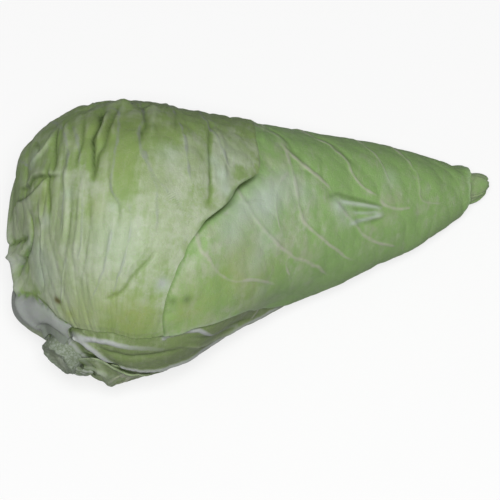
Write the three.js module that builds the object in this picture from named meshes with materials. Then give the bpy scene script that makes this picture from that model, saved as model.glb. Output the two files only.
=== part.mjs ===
// A pointed cabbage lying on its side, in millimetres, +Z up.
// The head is a cone with a rounded base. Its point lies towards +X and it rests on z = 0.
// Each leaf is a thin shell in its own mesh. The leaves wrap the tight heart, and a short stalk holds them.
//
// Every surface is drawn in the head's own coordinates:
//   turn   degrees round the head: 0 faces +Y, 90 faces up, 180 faces -Y, 270 faces the ground
//   along  0 where the leaves leave the stalk, GIRTH_AT at the widest ring, 1 at the point
//   depth  millimetres under the head's outer envelope
import * as THREE from "three";
import { mergeVertices } from "three/addons/utils/BufferGeometryUtils.js";

// The head's envelope.
const LENGTH = 250;
const GIRTH_RADIUS = 68.5;
const BASE_LENGTH = 55; // from the base's end to the widest ring
const BASE_SQUARENESS = 2.45; // exponent of the base's outline: 2 is an ellipse
const NOSE_LENGTH = 15;
const NOSE_RADIUS = 13.5;
const MERIDIAN = 320; // from stalk to point over the surface
const GIRTH_AT = 0.24;
const NOSE_AT = 0.95;
const PITCH = THREE.MathUtils.degToRad(16.3); // nose down, so that the lower side lies level
const PRESSED = 1.7; // how far the lower side is flattened by the head's weight
const HEAD_X = -114.5; // these put the origin on the ground, under the middle of the whole part
const HEAD_Y = -0.6;

// The stalk leaves the base off centre, and its cut end stands out from the leaves.
const STALK_Y = -44;
const STALK_Z = -20;
const STALK_RING = 14.5; // radius of the ring where the leaves begin
const STALK_RADIUS = 11;
const STALK_TAPER = 0.8;
const STALK_PROUD = 10;

// How the leaves are laid.
const GAP = 1.05; // air between one leaf and the next
const DRAPE_FROM = 9; // beside an outer leaf's edge, a leaf stays down for this far
const DRAPE_TO = 32; // and is back at its own height here
const EDGE_SHARE = 0.7; // thickness of a leaf's edge, as a share of its blade
const TIP_SHARE = 0.62; // thickness at the head's point, as a share of that at the base
const FACET_TURN = 8; // width of a facet, in degrees
const LEAF_ROWS = 20;
const HEART_TURNS = 40;
const HEART_ROWS = 28;

// The leaves, from the innermost to the outermost. Widths are half widths in degrees.
//   midrib       its turn at places along the head
//   left, right  towards falling and rising turn
//   root, full   width at the stalk, and how far along the blade has its whole width
//   tip          where the leaf ends, for places across it from -1 to 1
//   reach        change of the right side's width along the head
//   rib, spread  how far the midrib stands proud, and its half width in degrees
//   lift         how far the tip curls away from the head
const LEAVES = [
  {
    name: "side_leaf",
    midrib: [[0, 138], [0.12, 174], [0.25, 186], [0.6, 204]],
    left: 58, right: 110, root: 50, full: 0.14,
    tip: [[-1, 0.8], [0, 0.94], [1, 0.86]],
    thick: 1, rib: 5, spread: 22, lift: 0,
  },
  {
    name: "ground_leaf",
    midrib: [[0, 205], [0.25, 238], [0.5, 252]],
    left: 30, right: 105, root: 40, full: 0.16,
    tip: [[-1, 0.62], [0, 0.9], [1, 0.82]],
    thick: 1, rib: 3.5, spread: 30, lift: 0,
  },
  {
    name: "far_side_leaf",
    midrib: [[0, 318], [0.5, 332]],
    left: 85, right: 70, root: 52, full: 0.15,
    tip: [[-1, 0.66], [0, 0.93], [1, 0.8]],
    thick: 1, rib: 3.5, spread: 34, lift: 0,
  },
  {
    name: "front_wrapper_leaf",
    midrib: [[0, 42], [0.5, 18]],
    left: 118, right: 178, root: 60, full: 0.1,
    tip: [[-1, 0.86], [-0.3, 0.95], [0.5, 0.958], [1, 0.93]],
    reach: [[0.1, 0.72], [0.3, 0.82], [0.47, 0.9], [0.56, 1.06], [0.7, 1.1]],
    thick: 1, rib: 4, spread: 34, lift: 0,
  },
  {
    name: "short_side_leaf",
    midrib: [[0, 204], [0.12, 216], [0.3, 230]],
    left: 24, right: 62, root: 34, full: 0.1,
    tip: [[-1, 0.22], [-0.2, 0.36], [0.4, 0.46], [1, 0.34]],
    thick: 1.1, rib: 4, spread: 30, lift: 0,
  },
  {
    name: "outer_wrapper_leaf",
    midrib: [[0, 356], [0.5, 338]],
    left: 114, right: 182, root: 105, full: 0.09,
    tip: [
      [-1, 0.42], [-0.5, 0.54], [0, 0.57], [0.25, 0.545], [0.41, 0.504], [0.575, 0.458], [0.63, 0.43],
      [0.685, 0.37], [0.77, 0.28], [0.85, 0.22], [1, 0.215],
    ],
    thick: 1.1, rib: 5, spread: 60, lift: 2,
  },
];

// Stubs of torn leaf stalks. Each grows from the stalk's side and bends back over the leaves.
//   turn, spread     where it stands round the stalk, and its half width at the root and at the end
//   height, end      height of the root above the leaves, and how far along the head it reaches
//   clear, thick     height of its end above the leaves, and its thickness at the root
const STUBS = [
  {
    name: "broken_leaf_stalk_near",
    turn: 186, spread: [38, 17], height: 7, end: 0.07, clear: 6.5, thick: 4,
  },
  {
    name: "broken_leaf_stalk_far",
    turn: 266, spread: [34, 15], height: 6.5, end: 0.06, clear: 6.5, thick: 3.4,
  },
];
const STUB_COLUMNS = 8;
const STUB_ROWS = 6;

const clamp01 = (x) => Math.min(1, Math.max(0, x));
const mix = (a, b, share) => a + (b - a) * share;
const radians = THREE.MathUtils.degToRad;

// 0 before from, 1 after to, and a smooth rise between them.
function ease(from, to, x) {
  const u = clamp01((x - from) / (to - from));
  return u * u * (3 - 2 * u);
}

// A smooth curve through [x, value] knots, level before the first and after the last.
function through(knots) {
  const slopes = knots.map((_, i) => {
    const [x0, y0] = knots[Math.max(0, i - 1)];
    const [x1, y1] = knots[Math.min(knots.length - 1, i + 1)];
    return (y1 - y0) / (x1 - x0);
  });
  return (x) => {
    const next = knots.findIndex((knot) => knot[0] > x);
    if (next === 0) return knots[0][1];
    if (next < 0) return knots[knots.length - 1][1];
    const [x0, y0] = knots[next - 1];
    const [x1, y1] = knots[next];
    const width = x1 - x0;
    const u = (x - x0) / width;
    const rise = u * u * (3 - 2 * u);
    const start = width * slopes[next - 1] * u * (1 - u) ** 2;
    const end = width * slopes[next] * u * u * (u - 1);
    return mix(y0, y1, rise) + start + end;
  };
}

// Radius of the envelope from the widest ring to the nose.
const flankRadius = through([
  [0, GIRTH_RADIUS],
  [0.09, GIRTH_RADIUS * 0.98],
  [0.3, GIRTH_RADIUS * 0.8],
  [0.6, GIRTH_RADIUS * 0.56],
  [0.86, GIRTH_RADIUS * 0.335],
  [1, NOSE_RADIUS],
]);

// How far the head's middle line sways towards +Y.
const sway = through([[GIRTH_AT, 0], [0.5, 0.6], [0.75, -0.4], [0.92, -0.8], [1, 1]]);

// Radius of the ring of surface points at one distance along the head.
function ringRadius(along) {
  if (along < GIRTH_AT) {
    const swing = (Math.PI / 2) * clamp01(along / GIRTH_AT);
    return mix(STALK_RING, GIRTH_RADIUS, Math.sin(swing) ** 0.9);
  }
  if (along < NOSE_AT) return flankRadius((along - GIRTH_AT) / (NOSE_AT - GIRTH_AT));
  const swing = (Math.PI / 2) * clamp01((along - NOSE_AT) / (1 - NOSE_AT));
  return NOSE_RADIUS * Math.cos(swing) ** 0.8;
}

// A point of the envelope before the head is laid down: x along the axis, y sideways, z up.
function envelope(turn, along) {
  const ring = ringRadius(along);
  const across = ring * Math.cos(radians(turn));
  const up = ring * Math.sin(radians(turn));
  if (along < GIRTH_AT) {
    const off = (GIRTH_RADIUS - ring) / (GIRTH_RADIUS - STALK_RING);
    const y = STALK_Y * off + across;
    const z = STALK_Z * off + up;
    const reach = Math.min(1, Math.hypot(y, z) / GIRTH_RADIUS);
    const bulge = (1 - reach ** BASE_SQUARENESS) ** (1 / BASE_SQUARENESS);
    return new THREE.Vector3(BASE_LENGTH * (1 - bulge), y, z);
  }
  const noseStart = LENGTH - NOSE_LENGTH;
  const flankShare = Math.min(1, (along - GIRTH_AT) / (NOSE_AT - GIRTH_AT));
  const swing = (Math.PI / 2) * clamp01((along - NOSE_AT) / (1 - NOSE_AT));
  const x = mix(BASE_LENGTH, noseStart, flankShare) + NOSE_LENGTH * Math.sin(swing);
  return new THREE.Vector3(x, across + sway(along), up);
}

// The envelope's outward normal, from two short chords.
function outward(turn, along) {
  const middle = Math.min(0.995, Math.max(0.005, along));
  const round = envelope(turn + 0.5, middle).sub(envelope(turn - 0.5, middle));
  const forward = envelope(turn, middle + 0.004).sub(envelope(turn, middle - 0.004));
  return round.cross(forward).normalize();
}

// From the head's own frame to the part's: nose down, and pressed onto the ground.
function tilted(p) {
  const x = p.x * Math.cos(PITCH) + p.z * Math.sin(PITCH);
  return new THREE.Vector3(x, p.y, p.z * Math.cos(PITCH) - p.x * Math.sin(PITCH));
}
const lowerSide = Array.from({ length: 100 }, (_, i) => tilted(envelope(270, i / 100)).z);
const GROUND = Math.min(...lowerSide) + PRESSED;

// A surface point at a depth under the envelope. Deeper surfaces also stop higher above the ground.
function place(turn, along, depth) {
  const p = tilted(envelope(turn, along).addScaledVector(outward(turn, along), -depth));
  p.z = Math.max(p.z - GROUND, depth, 0);
  return p;
}

const midribAt = (leaf, along) => through(leaf.midrib)(along);

function widthAt(leaf, along, side) {
  const reach = leaf.reach ? through(leaf.reach)(along) : 1;
  const whole = side < 0 ? leaf.left : leaf.right * reach;
  return mix(leaf.root, whole, ease(0.005, leaf.full, along));
}

// Leaves grow thinner towards the head's point.
const thinning = (along) => mix(1, TIP_SHARE, ease(0.3, 0.95, along));
const step = (leaf, along) => (leaf.thick + GAP) * thinning(along);

// How much of a leaf lies over a place: 1 on the leaf, fading to 0 beside its edges.
function cover(leaf, turn, along) {
  const offset = THREE.MathUtils.euclideanModulo(turn - midribAt(leaf, along) + 180, 360) - 180;
  const shares = [offset - 360, offset, offset + 360].map((delta) => {
    const width = widthAt(leaf, along, Math.sign(delta));
    const across = delta / width;
    const inside = (1 - Math.abs(across)) * radians(width) * ringRadius(along);
    const end = through(leaf.tip)(across);
    return ease(-DRAPE_TO, -DRAPE_FROM, Math.min(inside, (end - along) * MERIDIAN));
  });
  return Math.max(...shares);
}

// Depth of a surface that lies under the leaves from the first one given outwards.
function depthUnder(first, turn, along) {
  const over = LEAVES.slice(first);
  return over.reduce((sum, leaf) => sum + step(leaf, along) * cover(leaf, turn, along), 0);
}

function closedGeometry(points, faces) {
  const geometry = new THREE.BufferGeometry().setFromPoints(points);
  geometry.setIndex(faces);
  return mergeVertices(geometry, 1e-3);
}

// A closed shell between an outer and an inner grid of points.
function shellGeometry(outer, inner) {
  const rows = outer.length;
  const columns = outer[0].length;
  const faces = [];
  const quad = (a, b, c, d) => faces.push(a, b, c, a, c, d);
  const top = (i, j) => i * columns + j;
  const under = (i, j) => rows * columns + i * columns + j;
  for (let i = 0; i + 1 < rows; i++) {
    for (let j = 0; j + 1 < columns; j++) {
      quad(top(i, j), top(i, j + 1), top(i + 1, j + 1), top(i + 1, j));
      quad(under(i, j), under(i + 1, j), under(i + 1, j + 1), under(i, j + 1));
    }
    quad(top(i, 0), top(i + 1, 0), under(i + 1, 0), under(i, 0));
    const last = columns - 1;
    quad(top(i + 1, last), top(i, last), under(i, last), under(i + 1, last));
  }
  for (let j = 0; j + 1 < columns; j++) {
    quad(top(0, j + 1), top(0, j), under(0, j), under(0, j + 1));
    const last = rows - 1;
    quad(top(last, j), top(last, j + 1), under(last, j + 1), under(last, j));
  }
  return closedGeometry([...outer.flat(), ...inner.flat()], faces);
}

function leafGeometry(leaf, index) {
  const columns = Math.ceil((leaf.left + leaf.right) / FACET_TURN);
  const endAt = through(leaf.tip);
  const outer = [];
  const inner = [];
  for (let i = 0; i <= LEAF_ROWS; i++) {
    const share = (i / LEAF_ROWS) ** 1.4;
    outer.push([]);
    inner.push([]);
    for (let j = 0; j <= columns; j++) {
      const across = (2 * j) / columns - 1;
      const along = endAt(across) * share;
      const width = widthAt(leaf, along, Math.sign(across));
      const turn = midribAt(leaf, along) + across * width;
      const depth = depthUnder(index + 1, turn, along);
      const bare = clamp01(1 - depth);
      const ribShape = ease(leaf.spread, 0, Math.abs(across) * width) * ease(0.42, 0.08, along);
      const rib = leaf.rib * bare * ribShape;
      const lift = leaf.lift * bare * ease(0.6, 1, share);
      const edge = Math.max(Math.abs(across), share);
      const thick = leaf.thick * thinning(along) * mix(1, EDGE_SHARE, ease(0.8, 1, edge));
      outer[i].push(place(turn, along, depth - rib - lift));
      inner[i].push(place(turn, along, depth + thick - lift));
    }
  }
  return shellGeometry(outer, inner);
}

// The tight inner leaves as one solid. Only its point shows.
function heartGeometry() {
  const capDepth = LEAVES.reduce((sum, leaf) => sum + step(leaf, 0), GAP);
  const points = [];
  const faces = [];
  for (let i = 0; i <= HEART_ROWS; i++) {
    const along = 0.99 * (i / HEART_ROWS) ** 1.15;
    for (let j = 0; j < HEART_TURNS; j++) {
      const turn = (360 * j) / HEART_TURNS;
      const depth = mix(capDepth, depthUnder(0, turn, along) + GAP, ease(0, 0.06, along));
      points.push(place(turn, along, depth));
    }
  }
  const at = (i, j) => i * HEART_TURNS + (j % HEART_TURNS);
  const centreOf = (row) => {
    const ring = points.slice(at(row, 0), at(row, 0) + HEART_TURNS);
    return ring.reduce((sum, p) => sum.add(p), new THREE.Vector3()).divideScalar(HEART_TURNS);
  };
  const baseCentre = points.push(centreOf(0)) - 1;
  const pointCentre = points.push(centreOf(HEART_ROWS)) - 1;
  for (let j = 0; j < HEART_TURNS; j++) {
    for (let i = 0; i < HEART_ROWS; i++) {
      faces.push(at(i, j), at(i, j + 1), at(i + 1, j + 1), at(i, j), at(i + 1, j + 1), at(i + 1, j));
    }
    faces.push(baseCentre, at(0, j + 1), at(0, j));
    faces.push(pointCentre, at(HEART_ROWS, j), at(HEART_ROWS, j + 1));
  }
  return { geometry: closedGeometry(points, faces), baseCentre: points[baseCentre] };
}

// The stalk's axis runs from the heart's base out through the middle of the ring of leaves.
function stalkFrame(heartBase) {
  const rim = [0, 120, 240].map((turn) => place(turn, 0, 0));
  const centre = rim.reduce((sum, p) => sum.add(p), new THREE.Vector3()).divideScalar(3);
  const axis = centre.clone().sub(heartBase).normalize();
  const end = centre.clone().addScaledVector(axis, STALK_PROUD);
  const foot = heartBase.clone().addScaledVector(axis, GAP);
  return { centre, axis, end, foot };
}

function stubGeometry(stub, frame) {
  const outer = [];
  const inner = [];
  for (let i = 0; i <= STUB_ROWS; i++) {
    const share = i / STUB_ROWS;
    outer.push([]);
    inner.push([]);
    for (let j = 0; j <= STUB_COLUMNS; j++) {
      const across = (2 * j) / STUB_COLUMNS - 1;
      const turn = stub.turn + across * mix(...stub.spread, share);
      const end = place(turn, stub.end * (1 - 0.25 * across * across), -stub.clear);
      const side = end.clone().sub(frame.centre);
      side.addScaledVector(frame.axis, -side.dot(frame.axis)).normalize();
      const root = frame.centre.clone().addScaledVector(frame.axis, stub.height);
      root.addScaledVector(side, STALK_RADIUS + GAP);
      const bend = root.clone().addScaledVector(side, 0.4 * root.distanceTo(end));
      const skin = new THREE.QuadraticBezierCurve3(root, bend, end).getPoint(share);
      const facing = frame.axis.clone().lerp(outward(turn, stub.end), share).normalize();
      outer[i].push(skin.clone());
      inner[i].push(skin.addScaledVector(facing, -stub.thick * mix(1, 0.5, share)));
    }
  }
  return shellGeometry(outer, inner);
}

const material = (color, roughness) =>
  new THREE.MeshStandardMaterial({ color, roughness, metalness: 0 });

const group = new THREE.Group();
group.position.set(HEAD_X, HEAD_Y, 0);
function add(name, geometry, finish) {
  const mesh = new THREE.Mesh(geometry, finish);
  mesh.name = name;
  group.add(mesh);
  return mesh;
}

const heart = heartGeometry();
add("heart", heart.geometry, material("#b3c498", 0.55));
LEAVES.forEach((leaf, index) =>
  add(leaf.name, leafGeometry(leaf, index), material("#9fb582", 0.55)),
);

const frame = stalkFrame(heart.baseCentre);
const stalkLength = frame.end.distanceTo(frame.foot);
const stalk = add(
  "stalk",
  new THREE.CylinderGeometry(STALK_RADIUS, STALK_RADIUS * STALK_TAPER, stalkLength, 24),
  material("#cfd3bd", 0.7),
);
stalk.quaternion.setFromUnitVectors(new THREE.Vector3(0, 1, 0), frame.axis);
stalk.position.copy(frame.end).add(frame.foot).multiplyScalar(0.5);
for (const stub of STUBS) add(stub.name, stubGeometry(stub, frame), material("#8d9a78", 0.7));

export default group;
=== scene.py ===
"""A pointed cabbage lying on its side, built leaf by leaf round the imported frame.

A place on the head is a turn and an along. The turn goes round its axis in degrees, 0 towards +Y and 90 up.
The along goes from 0 at the stalk to 1 at the point, and below 0 it is on the collar of leaf stalks.
"""

import dataclasses
import functools
import math

import bpy
import numpy as np
from bpy.props import FloatProperty, FloatVectorProperty, PointerProperty
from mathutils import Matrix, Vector


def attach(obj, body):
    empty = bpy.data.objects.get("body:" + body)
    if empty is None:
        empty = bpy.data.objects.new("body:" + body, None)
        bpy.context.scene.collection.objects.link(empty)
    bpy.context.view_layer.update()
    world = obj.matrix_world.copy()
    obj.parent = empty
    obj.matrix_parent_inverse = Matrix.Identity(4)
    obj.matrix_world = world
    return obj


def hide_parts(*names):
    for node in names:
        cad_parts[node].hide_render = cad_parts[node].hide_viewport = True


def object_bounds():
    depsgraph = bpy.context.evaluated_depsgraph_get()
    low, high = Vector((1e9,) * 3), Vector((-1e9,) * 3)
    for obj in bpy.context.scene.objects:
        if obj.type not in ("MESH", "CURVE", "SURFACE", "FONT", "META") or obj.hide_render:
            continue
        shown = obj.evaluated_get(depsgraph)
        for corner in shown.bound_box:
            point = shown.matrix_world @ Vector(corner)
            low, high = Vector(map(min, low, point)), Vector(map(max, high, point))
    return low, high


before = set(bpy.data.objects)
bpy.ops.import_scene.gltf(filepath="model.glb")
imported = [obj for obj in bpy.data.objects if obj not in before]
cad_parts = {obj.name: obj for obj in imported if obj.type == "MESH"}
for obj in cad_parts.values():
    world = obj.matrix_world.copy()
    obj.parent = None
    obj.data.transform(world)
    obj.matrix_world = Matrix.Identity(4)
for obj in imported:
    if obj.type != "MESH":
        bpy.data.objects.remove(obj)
CAD_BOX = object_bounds()

bl_info = {
    "name": "Pointed Cabbage",
    "version": (1, 0, 0),
    "blender": (4, 5, 0),
    "location": "View3D > Sidebar > Cabbage",
    "description": "Wraps a pointed cabbage head in leaves and sets it on a pale floor",
    "category": "Add Mesh",
}

BODY = "root"
MM = 0.001

# The smooth head that the leaves wrap, in metres. It repeats the frame's own shape.
LENGTH = 0.250
GIRTH_RADIUS = 0.0685
BASE_LENGTH = 0.055
BASE_SQUARENESS = 2.45
BASE_ROUNDNESS = 0.9
NOSE_LENGTH = 0.015
NOSE_RADIUS = 0.0135
NOSE_ROUNDNESS = 0.8
MERIDIAN = 0.320
GIRTH_AT = 0.24
NOSE_AT = 0.95
PITCH = math.radians(16.3)
PRESSED = 0.0017
HEAD_X = -0.1145
HEAD_Y = -0.0006
FLANK = [(0, 1), (0.09, 0.98), (0.3, 0.8), (0.6, 0.56), (0.86, 0.335), (1, NOSE_RADIUS / GIRTH_RADIUS)]
SWAY = [(GIRTH_AT, 0), (0.5, 0.0006), (0.75, -0.0004), (0.92, -0.0008), (1, 0.001)]

# The cut stalk and the collar of leaf stalks that joins it to the leaves, in metres.
STALK_Y = -0.044
STALK_Z = -0.020
STALK_RING = 0.0145
STALK_RADIUS = 0.0102
STALK_PROUD = 0.0088
STALK_SUNK = 0.012
HEART_DEPTH = 0.01355
COLLAR = 0.05
COLLAR_RISE = 0.0035
COLLAR_RADIUS = 0.0098
# The inset and the drop of each ring of the cut face, from its edge in.
STALK_RINGS = [
    (0.0005, 0.0004), (0.0012, 0.0002), (0.0012, -0.0003), (0.0015, -0.0004), (0.0015, -0.0002),
    (0.0018, 0.0001), (0.002, 0.0003), (0.0009, 0.0001),
]

# Where the head departs from its smooth shape: turn, along, radius and height in millimetres.
HEAD_MOUNDS = [
    (188, 0.3, 18, -2.2), (187, 0.38, 20, -4.4), (186, 0.47, 20, -4.2), (184, 0.56, 22, -2.8),
    (38, 0.32, 26, -2.6), (37, 0.47, 28, -1.4), (36, 0.62, 26, -1.4), (8, 0.14, 12, 2.4),
    (348, 0.07, 12, 0.8), (318, 0.06, 11, 2.0), (302, 0.042, 12, 4.0), (186, 0.82, 12, 2.0),
    (40, 0.955, 8, -2.4),
]

# How leaves lie on each other, in metres.
DRAPE = 0.013  # Reach past a margin in which the leaf over it comes down.
TUCK = 0.0025  # Reach past a margin in which the folds of the leaf under it flatten.
SINK = 0.0012  # How deep a blended margin goes into the leaf under it.
FLUSH_REACH = 0.004
SHELTER = 0.0036  # Reach past a free margin that it shades.
SHELTER_DIP = 0.0006
# How much painted shadow, green and near black, lies on a leaf past the free margin over it.
PAINTED_SHADOW_GREEN = 0.9
PAINTED_SHADOW_DARK = 0.7
CURL_REACH = 0.006  # Width of the curled strip inside a margin.
CURL_FROM = (0.02, 0.06)
EDGE_REACH = 0.009  # Width of the strip in which a leaf thins to its margin.
# Where the painted highlight along a free margin starts and is full.
MARGIN_HIGHLIGHT = (0.002, 0.0008)  # Where the pale lip of a margin starts and is full.
MARGIN_RIPPLE = 0.012
MARGIN_WAVE = 0.0035
LEAF_TAPER = 0.86  # A leaf is narrower than its widest degrees say.
INNER_STEP = 4  # A leaf's outer face is this many times finer than its inner one.
COLLAR_FADE = (-0.02, 0.0)  # Folds and mounds fade out here.
# Where painted shade darkens a leaf towards the collar.
COLLAR_SHADE = (-0.008, -0.016)

VEIN_WIDTH = 0.9
SIDE_VEIN_WIDTH = 1.3
# How many of its own widths away a line, a fold and the painted shade of a fold still show.
LINE_REACH = 4
FOLD_REACH = 5
DARK_REACH = 3
DARK_WIDTH = 0.85
# Folds get painted shade in their creases and painted highlights on their ridges.
FOLD_FULL = 1.2  # Height in millimetres from which a fold is tinted in full.
# The pale scar that leaves have where they join the collar.
SCAR_AT = -0.028
SCAR_WIDTH = 0.011
TABLE = 64  # Rows and columns of a table of random numbers.

# The wrinkles of the leaves ring the head at right angles to this direction.
GIRDLE = (0.92, -0.385, -0.045)

# The numbers that each point of a leaf carries for its finish, among them painted shade and painted
# highlights.
MARKS = ("vein", "green", "painted_shade", "pale", "brown", "yellow", "rib", "flesh", "fold", "round", "girdle")

# The heart, which shows past the longest leaf: its reach, how slim it is there, its tint and its folds.
HEART_REACH = 0.0065
HEART_SLIM = 0.002
HEART_SUNK = 0.0012
HEART_TINT = [(0, 0.3), (0.9, 0.5), (1, 0.75)]
HEART_FOLDS = [
    ("pleat", 1.0, 1.3, [(60, 0.952), (80, 0.97), (110, 0.985), (160, 0.99)]),
    ("crease", 0.8, 1.0, [(200, 0.955), (180, 0.972), (140, 0.985), (80, 0.99)]),
    ("crease", 0.7, 0.9, [(300, 0.95), (320, 0.97), (10, 0.985)]),
]

# The torn leaf stalks: node, turn, half widths in degrees at the stalk and at the end, height up the stalk in
# millimetres, the along of the end, how clear of the head it is in millimetres, and seed.
STUBS = [
    ("broken_leaf_stalk_near", 192, (36, 20), 6.5, -0.025, 1.8, 91),
    ("broken_leaf_stalk_far", 262, (30, 16), 6.0, -0.015, 2.2, 95),
]
STUB_THICK = (0.0034, 0.0016)

KEY_DISTANCE = 1.6
KEY_LIFT = 0.06
FLOOR_GLOW = 0.75
FLOOR_BOUNCE = 0.45
FAR_CLIP = 20


def ease(start, end, x):
    """0 before start and 1 after end, with a smooth rise between."""
    share = np.clip((x - start) / (end - start), 0, 1)
    return share * share * (3 - 2 * share)


def mix(a, b, share):
    return a + (b - a) * share


@functools.lru_cache(maxsize=None)
def knot_table(knots):
    """The places, values and slopes of a smooth line through knots."""
    xs, ys = np.array(knots, float).T
    last = len(xs) - 1
    low = np.maximum(np.arange(last + 1) - 1, 0)
    high = np.minimum(np.arange(last + 1) + 1, last)
    return xs, ys, (ys[high] - ys[low]) / (xs[high] - xs[low])


def through(knots, x):
    """A smooth line through (place, value) knots, level beyond its ends."""
    xs, ys, slopes = knot_table(tuple(knots))
    x = np.clip(x, xs[0], xs[-1])
    i = np.clip(np.searchsorted(xs, x, side="right"), 1, len(xs) - 1)
    wide = xs[i] - xs[i - 1]
    u = (x - xs[i - 1]) / wide
    value = mix(ys[i - 1], ys[i], u * u * (3 - 2 * u))
    return value + wide * (slopes[i - 1] * u * (1 - u) ** 2 + slopes[i] * u * u * (u - 1))


def ring_radius(along):
    """The head's radius round its axis."""
    rise = np.sin(math.pi / 2 * np.clip(along / GIRTH_AT, 0, 1)) ** BASE_ROUNDNESS
    base = mix(STALK_RING, GIRTH_RADIUS, rise)
    flank = GIRTH_RADIUS * through(FLANK, (along - GIRTH_AT) / (NOSE_AT - GIRTH_AT))
    swing = math.pi / 2 * np.clip((along - NOSE_AT) / (1 - NOSE_AT), 0, 1)
    nose = NOSE_RADIUS * np.cos(swing) ** NOSE_ROUNDNESS
    return np.where(along < GIRTH_AT, base, np.where(along < NOSE_AT, flank, nose))


def envelope(turn, along):
    """A point of the untilted head."""
    turn, along = np.broadcast_arrays(np.asarray(turn, float), np.asarray(along, float))
    ring = ring_radius(along)
    side = ring * np.cos(np.radians(turn))
    rise = ring * np.sin(np.radians(turn))
    off = (GIRTH_RADIUS - ring) / (GIRTH_RADIUS - STALK_RING)
    base_y = STALK_Y * off + side
    base_z = STALK_Z * off + rise
    reach = np.minimum(1, np.hypot(base_y, base_z) / GIRTH_RADIUS)
    base_x = BASE_LENGTH * (1 - (1 - reach**BASE_SQUARENESS) ** (1 / BASE_SQUARENESS))
    share = np.clip((along - GIRTH_AT) / (NOSE_AT - GIRTH_AT), 0, 1)
    swing = math.pi / 2 * np.clip((along - NOSE_AT) / (1 - NOSE_AT), 0, 1)
    front_x = mix(BASE_LENGTH, LENGTH - NOSE_LENGTH, share) + NOSE_LENGTH * np.sin(swing)
    based = along < GIRTH_AT
    return np.stack([
        np.where(based, base_x, front_x),
        np.where(based, base_y, side + through(SWAY, along)),
        np.where(based, base_z, rise),
    ], -1)


def outward(turn, along):
    """The direction straight out of the untilted head."""
    middle = np.clip(along, 0.005, 0.995)
    around = envelope(turn + 0.5, middle) - envelope(turn - 0.5, middle)
    forward = envelope(turn, middle + 0.004) - envelope(turn, middle - 0.004)
    return unit(np.cross(around, forward))


def tilted(p):
    """Leans the head forward on to its point."""
    cos, sin = math.cos(PITCH), math.sin(PITCH)
    x, y, z = p[..., 0], p[..., 1], p[..., 2]
    return np.stack([x * cos + z * sin, y, z * cos - x * sin], -1)


def unit(rows):
    return rows / np.linalg.norm(rows, axis=-1, keepdims=True)


GROUND = tilted(envelope(270, np.arange(100) / 100))[:, 2].min() + PRESSED


def place(turn, along, depth):
    """A point at a depth under the head's surface. Nothing goes below the floor."""
    depth = np.broadcast_to(np.asarray(depth, float), np.shape(turn))
    p = tilted(envelope(turn, np.maximum(along, 0)) - outward(turn, along) * depth[..., None])
    p = p + (HEAD_X, HEAD_Y, -GROUND)
    p[..., 2] = np.maximum(p[..., 2], np.maximum(depth, 0))
    return p


RIM = place(np.array([0.0, 120.0, 240.0]), 0.0, 0.0).mean(0)
STALK_AXIS = unit(RIM - place(np.arange(0.0, 360.0, 9.0), 0.0, HEART_DEPTH).mean(0))


def collared(p, along):
    """Draws the leaf stalks, at places before 0, in and up to the side of the cut stalk."""
    drawn = ease(0, 1, np.clip(-along / COLLAR, 0, 1))[..., None]
    height = (p - RIM) @ STALK_AXIS
    radial = p - RIM - height[..., None] * STALK_AXIS
    pull = 1 - COLLAR_RADIUS / STALK_RING
    return p - radial * pull * drawn + STALK_AXIS * COLLAR_RISE * drawn


@functools.lru_cache(maxsize=None)
def scatter(seed):
    return np.random.default_rng(seed).uniform(-1, 1, (TABLE, TABLE))


def noise(seed, x, y):
    """Smooth noise from -1 to 1, with about one bump to a unit."""
    table = scatter(seed)
    i, j = np.floor(x).astype(int), np.floor(y).astype(int)
    u, v = ease(0, 1, x - i), ease(0, 1, y - j)
    corner = [[table[(i + a) % TABLE, (j + b) % TABLE] for b in (0, 1)] for a in (0, 1)]
    return mix(mix(corner[0][0], corner[0][1], v), mix(corner[1][0], corner[1][1], v), u)


def blisters(seed, x, y):
    """Rounded swellings a unit across: 1 at each middle, falling to 0 in the creases between."""
    shift_x, shift_y = scatter(seed), scatter(seed + 1)
    i, j = np.floor(x).astype(int), np.floor(y).astype(int)
    nearest = np.full(np.shape(x), 9.0)
    for a in (-1, 0, 1):
        for b in (-1, 0, 1):
            cell = (i + a) % TABLE, (j + b) % TABLE
            dx = i + a + 0.5 + 0.4 * shift_x[cell] - x
            dy = j + b + 0.5 + 0.4 * shift_y[cell] - y
            nearest = np.minimum(nearest, dx * dx + dy * dy)
    return np.clip(1 - nearest / 0.6, 0, 1)


def wrinkles(seed, around, ahead):
    """Long wrinkles a unit apart, from 0.5 on their rounded tops to -0.5 in the sharp creases between."""
    sway = 1.2 * noise(seed, around * 0.7, ahead * 0.4)
    broad = np.abs(noise(seed + 1, around, ahead + sway))
    small = np.abs(noise(seed + 2, around * 1.7, ahead * 2.3 + sway))
    soft = noise(seed + 3, around * 0.8, ahead * 0.9 + sway)
    return 0.65 * (1 - np.exp(-4 * broad)) + 0.2 * (1 - np.exp(-4 * small)) + 0.3 * soft - 0.5


class Site:
    """Places on the head's surface, with the direction out of it."""

    def __init__(self, turn, along):
        self.turn = turn
        self.along = along
        self.place = place(turn, along, 0.0)
        self.out = tilted(outward(turn, along))

    def zeros(self):
        return np.zeros(len(self.turn))


@functools.lru_cache(maxsize=None)
def head_line(knots):
    """A smooth line on the head through (turn, along) knots, as points."""
    turns, alongs = zip(*knots)
    steps = np.linspace(0, len(knots) - 1, 5 * (len(knots) - 1) + 1)
    turn = through(tuple(enumerate(turns)), steps)
    along = through(tuple(enumerate(alongs)), steps)
    return place(turn, along, 0.0)


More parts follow.
